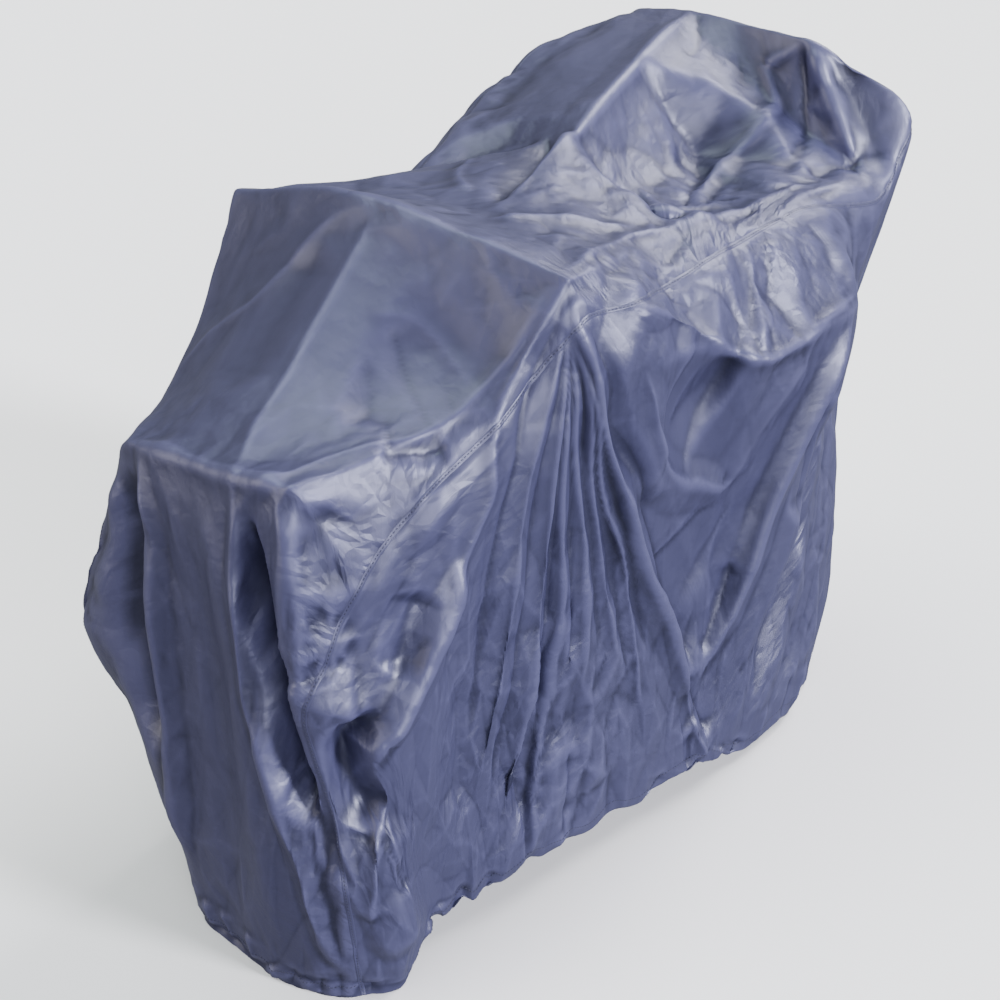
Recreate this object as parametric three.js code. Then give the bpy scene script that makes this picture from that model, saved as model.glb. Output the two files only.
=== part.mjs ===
// A fitted rain cover of thin coated nylon, draped as in use and hollow underneath.
// Three sewn panels: a long centre panel over the top and down both ends, and two sides.
// Millimetres. X points to the cover's left, Y to its rear, Z up. The hem rests near the floor.
import * as THREE from 'three';

// Cloth and sewing
const CLOTH_THICKNESS = 2;
const SEAM_GAP = 0.3;
const SEAM_BEVEL = 0.6;
const CLOTH_COLOUR = 0x5c6488;
const CLOTH_ROUGHNESS = 0.42;

// Hem, drawn in by elastic: the edge turned under, and the gathers that run up from it
const TUCK_DEPTH = 42;
const TUCK_RISE = 14;
const GATHER_HEIGHT = 6;
const GATHER_REACH = 1.2;
const GATHERS_PER_STATION = 0.6;
const GATHERS_PER_PLACE = 0.8;

// Places across a section, counted outwards: 0 spine, 1 roof edge, 2 seam, 3 ledge, 4 waist, 5 hem
// and 6 the turned edge. They are negative on the right.
const SEAM = 2;
const HEM = 5;
const TUCK = 6;

// Mesh steps between two places across a section, from the spine to the turned hem
const STEPS_ACROSS = [5, 4, 4, 6, 5, 1];

// The axis that the walls face away from, for the bulge at the waist
const AXIS_FRONT_Y = -450;
const AXIS_REAR_Y = 330;

// Sections from the front hem over the top to the rear hem: the middle line of the centre panel,
// and the mesh steps from each station to the next
const SPINE_LINE = [
  { station: 'front hem', x: 75, y: -645, z: 4, steps: 3 },
  { station: 'front wall low', x: 70, y: -654, z: 160, steps: 4 },
  { station: 'front wall middle', x: 60, y: -652, z: 410, steps: 4 },
  { station: 'front wall high', x: 48, y: -648, z: 600, steps: 3 },
  { station: 'shelf edge', x: 37, y: -636, z: 708, steps: 4 },
  { station: 'shelf', x: 15, y: -541, z: 762, steps: 5 },
  { station: 'slope', x: 0, y: -440, z: 832, steps: 5 },
  { station: 'bar front', x: -10, y: -370, z: 889, steps: 5 },
  { station: 'bar ridge', x: -15, y: -334, z: 930, steps: 6 },
  { station: 'bar back', x: 50, y: -200, z: 891, steps: 6 },
  { station: 'saddle front', x: 19, y: -40, z: 917, steps: 5 },
  { station: 'saddle middle', x: -20, y: 118, z: 946, steps: 4 },
  { station: 'saddle rear', x: -56, y: 262, z: 973, steps: 4 },
  { station: 'hood face', x: -77, y: 350, z: 989, steps: 4 },
  { station: 'hood top', x: -99, y: 437, z: 1005, steps: 4 },
  { station: 'hood back', x: -30, y: 520, z: 932, steps: 3 },
  { station: 'rear wall high', x: 0, y: 545, z: 700, steps: 3 },
  { station: 'rear wall low', x: 0, y: 560, z: 330, steps: 3 },
  { station: 'rear hem', x: 0, y: 548, z: 12, steps: 0 },
];

// The left half of each section: roof edge, seam, ledge or upper wall, hem, and the bulge between
const LEFT_HALF = [
  { rim_x: 150, rim_y: -628, rim_z: 4, seam_x: 192, seam_y: -597, seam_z: 6,
    ledge_x: 217, ledge_y: -557, ledge_z: 8, hem_x: 210, hem_y: -520, hem_z: 28, bulge: 4 },
  { rim_x: 150, rim_y: -645, rim_z: 165, seam_x: 204, seam_y: -624, seam_z: 200,
    ledge_x: 240, ledge_y: -568, ledge_z: 170, hem_x: 205, hem_y: -500, hem_z: 45, bulge: 10 },
  { rim_x: 145, rim_y: -646, rim_z: 420, seam_x: 176, seam_y: -640, seam_z: 440,
    ledge_x: 235, ledge_y: -560, ledge_z: 380, hem_x: 196, hem_y: -480, hem_z: 50, bulge: 10 },
  { rim_x: 145, rim_y: -642, rim_z: 600, seam_x: 190, seam_y: -618, seam_z: 525,
    ledge_x: 238, ledge_y: -520, ledge_z: 470, hem_x: 204, hem_y: -455, hem_z: 50, bulge: 4 },
  { rim_x: 158, rim_y: -628, rim_z: 728, seam_x: 207, seam_y: -572, seam_z: 610,
    ledge_x: 240, ledge_y: -480, ledge_z: 540, hem_x: 212, hem_y: -430, hem_z: 50, bulge: 0 },
  { rim_x: 192, rim_y: -500, rim_z: 738, seam_x: 225, seam_y: -505, seam_z: 680,
    ledge_x: 250, ledge_y: -430, ledge_z: 610, hem_x: 222, hem_y: -398, hem_z: 50, bulge: 0 },
  { rim_x: 214, rim_y: -392, rim_z: 772, seam_x: 244, seam_y: -392, seam_z: 744,
    ledge_x: 262, ledge_y: -370, ledge_z: 680, hem_x: 232, hem_y: -355, hem_z: 60, bulge: 0 },
  { rim_x: 244, rim_y: -330, rim_z: 843, seam_x: 264, seam_y: -324, seam_z: 808,
    ledge_x: 275, ledge_y: -310, ledge_z: 730, hem_x: 244, hem_y: -305, hem_z: 70, bulge: 0 },
  { rim_x: 264, rim_y: -300, rim_z: 889, seam_x: 276, seam_y: -284, seam_z: 842,
    ledge_x: 288, ledge_y: -255, ledge_z: 740, hem_x: 252, hem_y: -215, hem_z: 60, bulge: 4 },
  { rim_x: 255, rim_y: -245, rim_z: 882, seam_x: 275, seam_y: -222, seam_z: 832,
    ledge_x: 296, ledge_y: -190, ledge_z: 760, hem_x: 264, hem_y: -115, hem_z: 45, bulge: 0 },
  { rim_x: 210, rim_y: -70, rim_z: 852, seam_x: 248, seam_y: -80, seam_z: 814,
    ledge_x: 292, ledge_y: -80, ledge_z: 746, hem_x: 284, hem_y: -22, hem_z: 60, bulge: -18 },
  { rim_x: 208, rim_y: 70, rim_z: 849, seam_x: 250, seam_y: 40, seam_z: 826,
    ledge_x: 338, ledge_y: 32, ledge_z: 706, hem_x: 288, hem_y: 8, hem_z: 50, bulge: -45 },
  { rim_x: 210, rim_y: 250, rim_z: 845, seam_x: 256, seam_y: 185, seam_z: 838,
    ledge_x: 328, ledge_y: 250, ledge_z: 706, hem_x: 288, hem_y: 50, hem_z: 40, bulge: 8 },
  { rim_x: 218, rim_y: 395, rim_z: 842, seam_x: 262, seam_y: 385, seam_z: 800,
    ledge_x: 284, ledge_y: 276, ledge_z: 600, hem_x: 292, hem_y: 110, hem_z: 22, bulge: -10 },
  { rim_x: 114, rim_y: 417, rim_z: 998, seam_x: 256, seam_y: 488, seam_z: 880,
    ledge_x: 242, ledge_y: 356, ledge_z: 560, hem_x: 296, hem_y: 205, hem_z: 16, bulge: 20 },
  { rim_x: 118, rim_y: 505, rim_z: 915, seam_x: 225, seam_y: 508, seam_z: 790,
    ledge_x: 208, ledge_y: 425, ledge_z: 520, hem_x: 278, hem_y: 290, hem_z: 16, bulge: 22 },
  { rim_x: 120, rim_y: 535, rim_z: 700, seam_x: 180, seam_y: 492, seam_z: 600,
    ledge_x: 204, ledge_y: 450, ledge_z: 400, hem_x: 254, hem_y: 365, hem_z: 16, bulge: 20 },
  { rim_x: 110, rim_y: 550, rim_z: 330, seam_x: 165, seam_y: 512, seam_z: 320,
    ledge_x: 212, ledge_y: 452, ledge_z: 250, hem_x: 224, hem_y: 422, hem_z: 14, bulge: 12 },
  { rim_x: 90, rim_y: 540, rim_z: 12, seam_x: 140, seam_y: 516, seam_z: 12,
    ledge_x: 168, ledge_y: 490, ledge_z: 12, hem_x: 194, hem_y: 450, hem_z: 12, bulge: 2 },
];

// The right half, with the same columns; its seam lies at the hood's far edge
const RIGHT_HALF = [
  { rim_x: -45, rim_y: -642, rim_z: 4, seam_x: -110, seam_y: -585, seam_z: 15,
    ledge_x: -170, ledge_y: -530, ledge_z: 15, hem_x: -215, hem_y: -505, hem_z: 35, bulge: 4 },
  { rim_x: -70, rim_y: -648, rim_z: 170, seam_x: -205, seam_y: -590, seam_z: 190,
    ledge_x: -240, ledge_y: -530, ledge_z: 170, hem_x: -228, hem_y: -480, hem_z: 45, bulge: 10 },
  { rim_x: -76, rim_y: -648, rim_z: 420, seam_x: -254, seam_y: -632, seam_z: 380,
    ledge_x: -262, ledge_y: -530, ledge_z: 350, hem_x: -235, hem_y: -460, hem_z: 50, bulge: 10 },
  { rim_x: -84, rim_y: -645, rim_z: 600, seam_x: -198, seam_y: -626, seam_z: 530,
    ledge_x: -252, ledge_y: -510, ledge_z: 470, hem_x: -238, hem_y: -438, hem_z: 50, bulge: 4 },
  { rim_x: -112, rim_y: -634, rim_z: 694, seam_x: -205, seam_y: -565, seam_z: 600,
    ledge_x: -250, ledge_y: -470, ledge_z: 530, hem_x: -240, hem_y: -412, hem_z: 50, bulge: 0 },
  { rim_x: -170, rim_y: -545, rim_z: 690, seam_x: -222, seam_y: -500, seam_z: 655,
    ledge_x: -256, ledge_y: -425, ledge_z: 600, hem_x: -243, hem_y: -378, hem_z: 50, bulge: 0 },
  { rim_x: -218, rim_y: -448, rim_z: 728, seam_x: -245, seam_y: -415, seam_z: 715,
    ledge_x: -268, ledge_y: -370, ledge_z: 670, hem_x: -246, hem_y: -335, hem_z: 60, bulge: 0 },
  { rim_x: -252, rim_y: -362, rim_z: 812, seam_x: -264, seam_y: -350, seam_z: 790,
    ledge_x: -282, ledge_y: -310, ledge_z: 720, hem_x: -250, hem_y: -280, hem_z: 70, bulge: 0 },
  { rim_x: -264, rim_y: -318, rim_z: 880, seam_x: -278, seam_y: -300, seam_z: 835,
    ledge_x: -292, ledge_y: -255, ledge_z: 735, hem_x: -254, hem_y: -190, hem_z: 60, bulge: 4 },
  { rim_x: -252, rim_y: -255, rim_z: 872, seam_x: -276, seam_y: -225, seam_z: 828,
    ledge_x: -300, ledge_y: -185, ledge_z: 752, hem_x: -264, hem_y: -90, hem_z: 45, bulge: 0 },
  { rim_x: -110, rim_y: -15, rim_z: 888, seam_x: -199, seam_y: -60, seam_z: 855,
    ledge_x: -298, ledge_y: -75, ledge_z: 742, hem_x: -280, hem_y: 5, hem_z: 50, bulge: -14 },
  { rim_x: -140, rim_y: 118, rim_z: 926, seam_x: -255, seam_y: 118, seam_z: 897,
    ledge_x: -336, ledge_y: 44, ledge_z: 706, hem_x: -286, hem_y: 60, hem_z: 40, bulge: -34 },
  { rim_x: -160, rim_y: 262, rim_z: 966, seam_x: -262, seam_y: 262, seam_z: 948,
    ledge_x: -338, ledge_y: 262, ledge_z: 706, hem_x: -286, hem_y: 115, hem_z: 30, bulge: -6 },
  { rim_x: -155, rim_y: 370, rim_z: 988, seam_x: -228, seam_y: 388, seam_z: 976,
    ledge_x: -305, ledge_y: 330, ledge_z: 600, hem_x: -280, hem_y: 170, hem_z: 20, bulge: -10 },
  { rim_x: -185, rim_y: 437, rim_z: 993, seam_x: -240, seam_y: 470, seam_z: 930,
    ledge_x: -280, ledge_y: 400, ledge_z: 560, hem_x: -272, hem_y: 235, hem_z: 14, bulge: 8 },
  { rim_x: -128, rim_y: 515, rim_z: 930, seam_x: -230, seam_y: 520, seam_z: 790,
    ledge_x: -250, ledge_y: 425, ledge_z: 490, hem_x: -264, hem_y: 305, hem_z: 14, bulge: 10 },
  { rim_x: -130, rim_y: 540, rim_z: 700, seam_x: -190, seam_y: 500, seam_z: 610,
    ledge_x: -230, ledge_y: 442, ledge_z: 395, hem_x: -248, hem_y: 368, hem_z: 14, bulge: 10 },
  { rim_x: -110, rim_y: 550, rim_z: 330, seam_x: -170, seam_y: 520, seam_z: 320,
    ledge_x: -212, ledge_y: 464, ledge_z: 250, hem_x: -224, hem_y: 424, hem_z: 14, bulge: 8 },
  { rim_x: -90, rim_y: 540, rim_z: 12, seam_x: -140, seam_y: 516, seam_z: 12,
    ledge_x: -168, ledge_y: 490, ledge_z: 12, hem_x: -200, hem_y: 456, hem_z: 12, bulge: 2 },
];

// Main folds, each a stroke through three spots given as station and place. The cloth stands out
// along it by `height`, or sinks where that is negative, and the fold dies away over `width`.
const FOLDS = [
  { fold: 'front crease', station_1: 3.9, place_1: 0.3, station_2: 2.3, place_2: 0.38,
    station_3: 0.6, place_3: 1.25, width: 18, height: 16 },
  { fold: 'front trough', station_1: 3.6, place_1: 0.46, station_2: 2.45, place_2: 0.8,
    station_3: 1.42, place_3: 1.55, width: 24, height: -44 },
  { fold: 'corner column', station_1: 3.9, place_1: 1.02, station_2: 3, place_2: 1.25,
    station_3: 2.2, place_3: 1.62, width: 20, height: 10 },
  { fold: 'front pleat, right', station_1: 3.6, place_1: -0.82, station_2: 2.2, place_2: -0.8,
    station_3: 0.3, place_3: -0.85, width: 20, height: 18 },
  { fold: 'front trough, right', station_1: 3.7, place_1: -1.12, station_2: 2.2, place_2: -1.2,
    station_3: 0.8, place_3: -1.25, width: 26, height: -34 },
  { fold: 'front hollow', station_1: 3.5, place_1: -0.35, station_2: 2.2, place_2: -0.35,
    station_3: 0.4, place_3: -0.35, width: 34, height: -9 },
  { fold: 'front swell', station_1: 3.6, place_1: 0.02, station_2: 2.2, place_2: 0.05,
    station_3: 0.4, place_3: 0.1, width: 28, height: 8 },
  { fold: 'knee', station_1: 2.15, place_1: 1.75, station_2: 2, place_2: 2.1,
    station_3: 1.85, place_3: 2.45, width: 38, height: 14 },
  { fold: 'knee trough', station_1: 2.3, place_1: 2.66, station_2: 1.85, place_2: 2.42,
    station_3: 1.4, place_3: 2.6, width: 24, height: -24 },
  { fold: 'corner roll', station_1: 1.5, place_1: 2.75, station_2: 1, place_2: 2.85,
    station_3: 0.4, place_3: 2.8, width: 22, height: 12 },
  { fold: 'fan groove, first', station_1: 7.1, place_1: 1.5, station_2: 6.2, place_2: 2.4,
    station_3: 4.7, place_3: 2.96, width: 20, height: -9 },
  { fold: 'fan ridge, first', station_1: 7.3, place_1: 1.5, station_2: 6.4, place_2: 2.8,
    station_3: 5.2, place_3: 3.87, width: 18, height: 8 },
  { fold: 'fan groove, second', station_1: 7.4, place_1: 1.75, station_2: 6.6, place_2: 3.1,
    station_3: 6.1, place_3: 4.5, width: 18, height: -13 },
  { fold: 'fan ridge, second', station_1: 7.5, place_1: 1.7, station_2: 6.92, place_2: 3.2,
    station_3: 6.9, place_3: 4.7, width: 18, height: 10 },
  { fold: 'fan groove, third', station_1: 7.6, place_1: 2, station_2: 7.45, place_2: 3.25,
    station_3: 7.6, place_3: 4.7, width: 18, height: -13 },
  { fold: 'fan ridge, bold', station_1: 7.65, place_1: 1.4, station_2: 8.1, place_2: 3.35,
    station_3: 10.2, place_3: 4.5, width: 20, height: 15 },
  { fold: 'swag hollow', station_1: 9.4, place_1: 3.5, station_2: 10.4, place_2: 3.9,
    station_3: 11, place_3: 3.9, width: 60, height: -22 },
  { fold: 'swag lip', station_1: 8.7, place_1: 3.05, station_2: 9.75, place_2: 3.47,
    station_3: 11.1, place_3: 3.46, width: 22, height: 10 },
  { fold: 'long diagonal', station_1: 11.85, place_1: 2.98, station_2: 11.5, place_2: 3.8,
    station_3: 10.75, place_3: 4.45, width: 18, height: 14 },
  { fold: 'pocket behind it', station_1: 12.3, place_1: 3.4, station_2: 12, place_2: 4,
    station_3: 11.6, place_3: 4.5, width: 28, height: -26 },
  { fold: 'rear corner ridge', station_1: 13.4, place_1: 3.2, station_2: 13.4, place_2: 4,
    station_3: 13.1, place_3: 4.8, width: 22, height: 10 },
  { fold: 'rear corner groove', station_1: 14.1, place_1: 3.2, station_2: 14, place_2: 4,
    station_3: 13.9, place_3: 4.7, width: 22, height: -12 },
  { fold: 'rear corner ridge, outer', station_1: 14.9, place_1: 2.9, station_2: 14.9, place_2: 3.8,
    station_3: 14.8, place_3: 4.8, width: 22, height: 10 },
  { fold: 'slope ridge', station_1: 7.6, place_1: -0.07, station_2: 5.9, place_2: -0.72,
    station_3: 4.9, place_3: -0.98, width: 20, height: 8 },
  { fold: 'slope facet edge', station_1: 7.5, place_1: 0.1, station_2: 6, place_2: 0.2,
    station_3: 4.4, place_3: 0.3, width: 22, height: 9 },
  { fold: 'slope hollow', station_1: 6.9, place_1: -0.15, station_2: 6, place_2: -0.2,
    station_3: 4.7, place_3: -0.25, width: 40, height: -8 },
  { fold: 'shelf hollow, left', station_1: 6.8, place_1: 0.65, station_2: 6, place_2: 0.6,
    station_3: 4.9, place_3: 0.65, width: 42, height: -6 },
  { fold: 'saddle pocket', station_1: 10.3, place_1: 0.47, station_2: 11.4, place_2: 0.5,
    station_3: 12.6, place_3: 0.42, width: 70, height: -66 },
  { fold: 'saddle ridge', station_1: 13.8, place_1: 0, station_2: 12, place_2: 0,
    station_3: 9.3, place_3: 0, width: 20, height: 7 },
  { fold: 'saddle valley, right', station_1: 10, place_1: -1.9, station_2: 10.5, place_2: -0.5,
    station_3: 9.5, place_3: -0.25, width: 24, height: -9 },
  { fold: 'hood hollow, left', station_1: 13.9, place_1: 1.15, station_2: 13.6, place_2: 1.4,
    station_3: 13.2, place_3: 1.7, width: 26, height: -28 },
  { fold: 'hood corner', station_1: 13.9, place_1: 0.95, station_2: 13.5, place_2: 1.05,
    station_3: 13.2, place_3: 1.15, width: 22, height: 10 },
  { fold: 'rear groove, right', station_1: 15.4, place_1: -0.9, station_2: 16.5, place_2: -0.8,
    station_3: 17.8, place_3: -0.9, width: 26, height: -16 },
  { fold: 'rear ridge', station_1: 15.4, place_1: 0.1, station_2: 16.6, place_2: 0,
    station_3: 17.8, place_3: 0.2, width: 30, height: 10 },
  { fold: 'rear groove, left', station_1: 15.6, place_1: 0.9, station_2: 16.6, place_2: 1.05,
    station_3: 17.7, place_3: 1.1, width: 26, height: -16 },
  { fold: 'far rear corner ridge', station_1: 15.8, place_1: -3.2, station_2: 16.6, place_2: -3.2,
    station_3: 17.6, place_3: -3.2, width: 26, height: 12 },
  { fold: 'far fan groove, first', station_1: 7.4, place_1: -1.7, station_2: 6.6, place_2: -3.1,
    station_3: 6.2, place_3: -4.6, width: 20, height: -12 },
  { fold: 'far fan ridge', station_1: 7.6, place_1: -1.7, station_2: 7.1, place_2: -3.2,
    station_3: 7, place_3: -4.7, width: 18, height: 10 },
  { fold: 'far fan groove, second', station_1: 7.9, place_1: -1.8, station_2: 7.7, place_2: -3.2,
    station_3: 7.8, place_3: -4.7, width: 20, height: -12 },
  { fold: 'far fan ridge, bold', station_1: 7.9, place_1: -1.6, station_2: 8.5, place_2: -3.4,
    station_3: 10.3, place_3: -4.5, width: 20, height: 14 },
  { fold: 'far swag hollow', station_1: 9.4, place_1: -3.4, station_2: 10.4, place_2: -3.7,
    station_3: 11.2, place_3: -3.8, width: 60, height: -20 },
  { fold: 'far diagonal', station_1: 11.9, place_1: -3, station_2: 11.7, place_2: -3.8,
    station_3: 11.2, place_3: -4.5, width: 18, height: 14 },
  { fold: 'far pocket', station_1: 12.4, place_1: -3.4, station_2: 12.3, place_2: -4,
    station_3: 12, place_3: -4.5, width: 28, height: -24 },
  { fold: 'far rear ridge', station_1: 13.6, place_1: -3.2, station_2: 13.6, place_2: -4,
    station_3: 13.5, place_3: -4.8, width: 22, height: 10 },
  { fold: 'far rear groove', station_1: 14.3, place_1: -3.1, station_2: 14.3, place_2: -4,
    station_3: 14.2, place_3: -4.8, width: 22, height: -14 },
];
const STROKE_STEPS = 8;

// Monotone cubic through values at 0, 1, 2 ... so that the cloth never swings past its supports
function slopesThrough(values) {
  const last = values.length - 1;
  const steps = values.slice(1).map((value, i) => value - values[i]);
  return values.map((_, i) => {
    if (i === 0) return steps[0];
    if (i === last) return steps[last - 1];
    const before = steps[i - 1];
    const after = steps[i];
    return before * after <= 0 ? 0 : (2 * before * after) / (before + after);
  });
}

function smoothAt(values, at) {
  const slopes = slopesThrough(values);
  const i = Math.min(Math.floor(at), values.length - 2);
  const t = at - i;
  const t2 = t * t;
  const t3 = t2 * t;
  return values[i] * (2 * t3 - 3 * t2 + 1) + slopes[i] * (t3 - 2 * t2 + t)
    + values[i + 1] * (3 * t2 - 2 * t3) + slopes[i + 1] * (t3 - t2);
}

function outwards(point) {
  const axisY = THREE.MathUtils.clamp(point.y, AXIS_FRONT_Y, AXIS_REAR_Y);
  return new THREE.Vector3(point.x, point.y - axisY, 0).normalize();
}

// One half section as points from the roof edge to the turned edge of the hem
function halfSection(row) {
  const rim = new THREE.Vector3(row.rim_x, row.rim_y, row.rim_z);
  const seam = new THREE.Vector3(row.seam_x, row.seam_y, row.seam_z);
  const ledge = new THREE.Vector3(row.ledge_x, row.ledge_y, row.ledge_z);
  const hem = new THREE.Vector3(row.hem_x, row.hem_y, row.hem_z);
  const waist = ledge.clone().lerp(hem, 0.5);
  waist.addScaledVector(outwards(waist), row.bulge);
  const tuck = hem.clone().addScaledVector(outwards(hem), -TUCK_DEPTH);
  tuck.z += TUCK_RISE;
  return [rim, seam, ledge, waist, hem, tuck];
}

const sections = SPINE_LINE.map((spine, i) => [
  ...halfSection(RIGHT_HALF[i]).reverse(),
  new THREE.Vector3(spine.x, spine.y, spine.z),
  ...halfSection(LEFT_HALF[i]),
]);
const lastStation = sections.length - 1;

// The smooth drape at a station, from front to rear, and a place, from right (-) to left (+)
function drape(station, place) {
  const coordinates = ['x', 'y', 'z'].map((axis) => {
    const lengthwise = sections[0].map((_, k) => sections.map((section) => section[k][axis]));
    const across = lengthwise.map((values) => smoothAt(values, station));
    return smoothAt(across, place + TUCK);
  });
  return new THREE.Vector3(...coordinates);
}

// The mesh lines: stations along the cover, and places across it from hem to hem
const divide = (steps, k) => Array.from({ length: steps }, (_, j) => k + j / steps);
const stations = [...SPINE_LINE.flatMap((spine, k) => divide(spine.steps, k)), lastStation];
const leftPlaces = [...STEPS_ACROSS.flatMap(divide), TUCK];
const places = [...leftPlaces.slice(1).map((place) => -place).reverse(), ...leftPlaces];

// Outward normals of a net of points, from the neighbours along and across
function normalsOf(net) {
  return net.map((line, i) => line.map((_, j) => {
    const ahead = net[Math.min(i + 1, net.length - 1)][j];
    const behind = net[Math.max(i - 1, 0)][j];
    const leftward = line[Math.min(j + 1, line.length - 1)];
    const rightward = line[Math.max(j - 1, 0)];
    const along = ahead.clone().sub(behind);
    const across = leftward.clone().sub(rightward);
    return across.cross(along).normalize();
  }));
}

// A fold as a chain of points on the smooth drape
function strokeOf(fold) {
  const spotStations = [fold.station_1, fold.station_2, fold.station_3];
  const spotPlaces = [fold.place_1, fold.place_2, fold.place_3];
  const chain = Array.from({ length: 2 * STROKE_STEPS + 1 }, (_, i) => {
    const at = i / STROKE_STEPS;
    return drape(smoothAt(spotStations, at), smoothAt(spotPlaces, at));
  });
  return { chain, width: fold.width, height: fold.height };
}

function distanceToChain(point, chain) {
  const nearest = new THREE.Vector3();
  const piece = new THREE.Line3();
  const distances = chain.slice(1).map((end, i) => {
    piece.set(chain[i], end);
    piece.closestPointToPoint(point, true, nearest);
    return nearest.distanceTo(point);
  });
  return Math.min(...distances);
}

const strokes = FOLDS.map(strokeOf);

function foldHeight(point) {
  return strokes.reduce((sum, stroke) => {
    const widthsAway = distanceToChain(point, stroke.chain) / stroke.width;
    return sum + stroke.height * Math.exp(-widthsAway * widthsAway);
  }, 0);
}

// Gathers of the elastic: strongest at the hem and gone a little way up the wall
function gatherHeight(station, place) {
  const sideFade = THREE.MathUtils.smoothstep(Math.abs(place), HEM - GATHER_REACH, HEM);
  const fromEnd = Math.min(station, lastStation - station);
  const endFade = 1 - THREE.MathUtils.smoothstep(fromEnd, 0, 1);
  const side = sideFade * (1 - endFade) * Math.sin(2 * Math.PI * GATHERS_PER_STATION * station);
  const end = endFade * Math.sin(2 * Math.PI * GATHERS_PER_PLACE * place);
  return GATHER_HEIGHT * (side + end);
}

const smoothNet = stations.map((station) => places.map((place) => drape(station, place)));
const smoothNormals = normalsOf(smoothNet);
const outerNet = smoothNet.map((line, i) => line.map((point, j) => {
  const height = foldHeight(point) + gatherHeight(stations[i], places[j]);
  return point.clone().addScaledVector(smoothNormals[i][j], height);
}));

// The cover stands on its hem, centred over the origin
const box = new THREE.Box3().setFromPoints(outerNet.flat());
const foot = box.getCenter(new THREE.Vector3());
foot.z = box.min.z;
outerNet.flat().forEach((point) => point.sub(foot));
const outerNormals = normalsOf(outerNet);

// The way leftwards across a seam, square to the seam and to the cloth's normal
function seamSideways(i, j) {
  const ahead = outerNet[Math.min(i + 1, outerNet.length - 1)][j];
  const behind = outerNet[Math.max(i - 1, 0)][j];
  const along = ahead.clone().sub(behind);
  return along.cross(outerNormals[i][j]).normalize();
}

// One panel of the net between two places, as a closed sheet. At a seam it is drawn back by half
// the gap, a little more on its underside, so that the edges of the two panels stay clear.
function panelSheet(name, fromPlace, toPlace) {
  const first = places.indexOf(fromPlace);
  const last = places.indexOf(toPlace);
  const width = last - first + 1;
  const outside = [];
  const inside = [];
  outerNet.forEach((line, i) => {
    for (let j = first; j <= last; j += 1) {
      const point = line[j].clone();
      const below = point.clone().addScaledVector(outerNormals[i][j], -CLOTH_THICKNESS);
      const onSeam = Math.abs(places[j]) === SEAM && (j === first || j === last);
      if (onSeam) {
        const back = seamSideways(i, j).multiplyScalar(j === first ? 1 : -1);
        point.addScaledVector(back, SEAM_GAP / 2);
        below.addScaledVector(back, SEAM_GAP / 2 + SEAM_BEVEL);
      }
      outside.push(point);
      inside.push(below);
    }
  });
  const points = [...outside, ...inside];
  const under = outside.length;
  const index = [];
  const quad = (a, b, c, d) => index.push(a, b, c, a, c, d);
  const length = (from, to) => points[from].distanceTo(points[to]);
  const lines = stations.length;
  for (let i = 0; i + 1 < lines; i += 1) {
    for (let j = 0; j + 1 < width; j += 1) {
      const a = i * width + j;
      const b = a + 1;
      const c = a + width + 1;
      const d = a + width;
      if (length(a, c) <= length(b, d)) {
        quad(a, b, c, d);
        quad(under + a, under + d, under + c, under + b);
      } else {
        quad(b, c, d, a);
        quad(under + b, under + a, under + d, under + c);
      }
    }
  }
  for (let i = 0; i + 1 < lines; i += 1) {
    const right = i * width;
    const left = right + width - 1;
    quad(right, right + width, under + right + width, under + right);
    quad(left + width, left, under + left, under + left + width);
  }
  const rear = (lines - 1) * width;
  for (let j = 0; j + 1 < width; j += 1) {
    quad(j + 1, j, under + j, under + j + 1);
    quad(rear + j, rear + j + 1, under + rear + j + 1, under + rear + j);
  }
  const geometry = new THREE.BufferGeometry().setFromPoints(points);
  geometry.setIndex(index);
  geometry.computeVertexNormals();
  const material = new THREE.MeshStandardMaterial({
    color: CLOTH_COLOUR, roughness: CLOTH_ROUGHNESS, metalness: 0,
  });
  const mesh = new THREE.Mesh(geometry, material);
  mesh.name = name;
  return mesh;
}

const cover = new THREE.Group();
cover.name = 'cover';
cover.add(panelSheet('centre_panel', -SEAM, SEAM));
cover.add(panelSheet('left_side_panel', SEAM, TUCK));
cover.add(panelSheet('right_side_panel', -TUCK, -SEAM));

export default cover;
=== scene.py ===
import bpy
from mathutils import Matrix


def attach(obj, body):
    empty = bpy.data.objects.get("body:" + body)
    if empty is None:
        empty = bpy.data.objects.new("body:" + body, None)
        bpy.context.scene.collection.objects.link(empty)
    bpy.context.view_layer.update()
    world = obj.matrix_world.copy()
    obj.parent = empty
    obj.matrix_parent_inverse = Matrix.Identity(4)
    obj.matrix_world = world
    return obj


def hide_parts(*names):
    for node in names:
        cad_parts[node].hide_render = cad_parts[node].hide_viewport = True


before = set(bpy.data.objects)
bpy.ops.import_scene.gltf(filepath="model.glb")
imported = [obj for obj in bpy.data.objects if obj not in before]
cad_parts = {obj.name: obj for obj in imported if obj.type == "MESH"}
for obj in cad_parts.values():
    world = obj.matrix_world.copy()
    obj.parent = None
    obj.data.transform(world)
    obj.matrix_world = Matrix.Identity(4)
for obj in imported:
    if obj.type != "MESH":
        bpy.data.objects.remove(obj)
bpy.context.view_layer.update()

import math

import bpy
import numpy as np
from mathutils import Vector
from mathutils.geometry import delaunay_2d_cdt

# A fitted cover of coated nylon, draped and hollow. The drape below is in millimetres, with X to the
# cover's left, Y to its rear and Z up, and it is moved onto the frame by SHIFT before it is built.
MILLIMETRE = 0.001
SHIFT = (1.282, 48.763, -3.529)

# Camera of the photograph
CAMERA_AT = (1.2652, -1.5312, 1.5095)
CAMERA_AZIMUTH = 40.7
CAMERA_ELEVATION = 29.0
CAMERA_LENS = 57.24
CAMERA_SENSOR = 36

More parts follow.
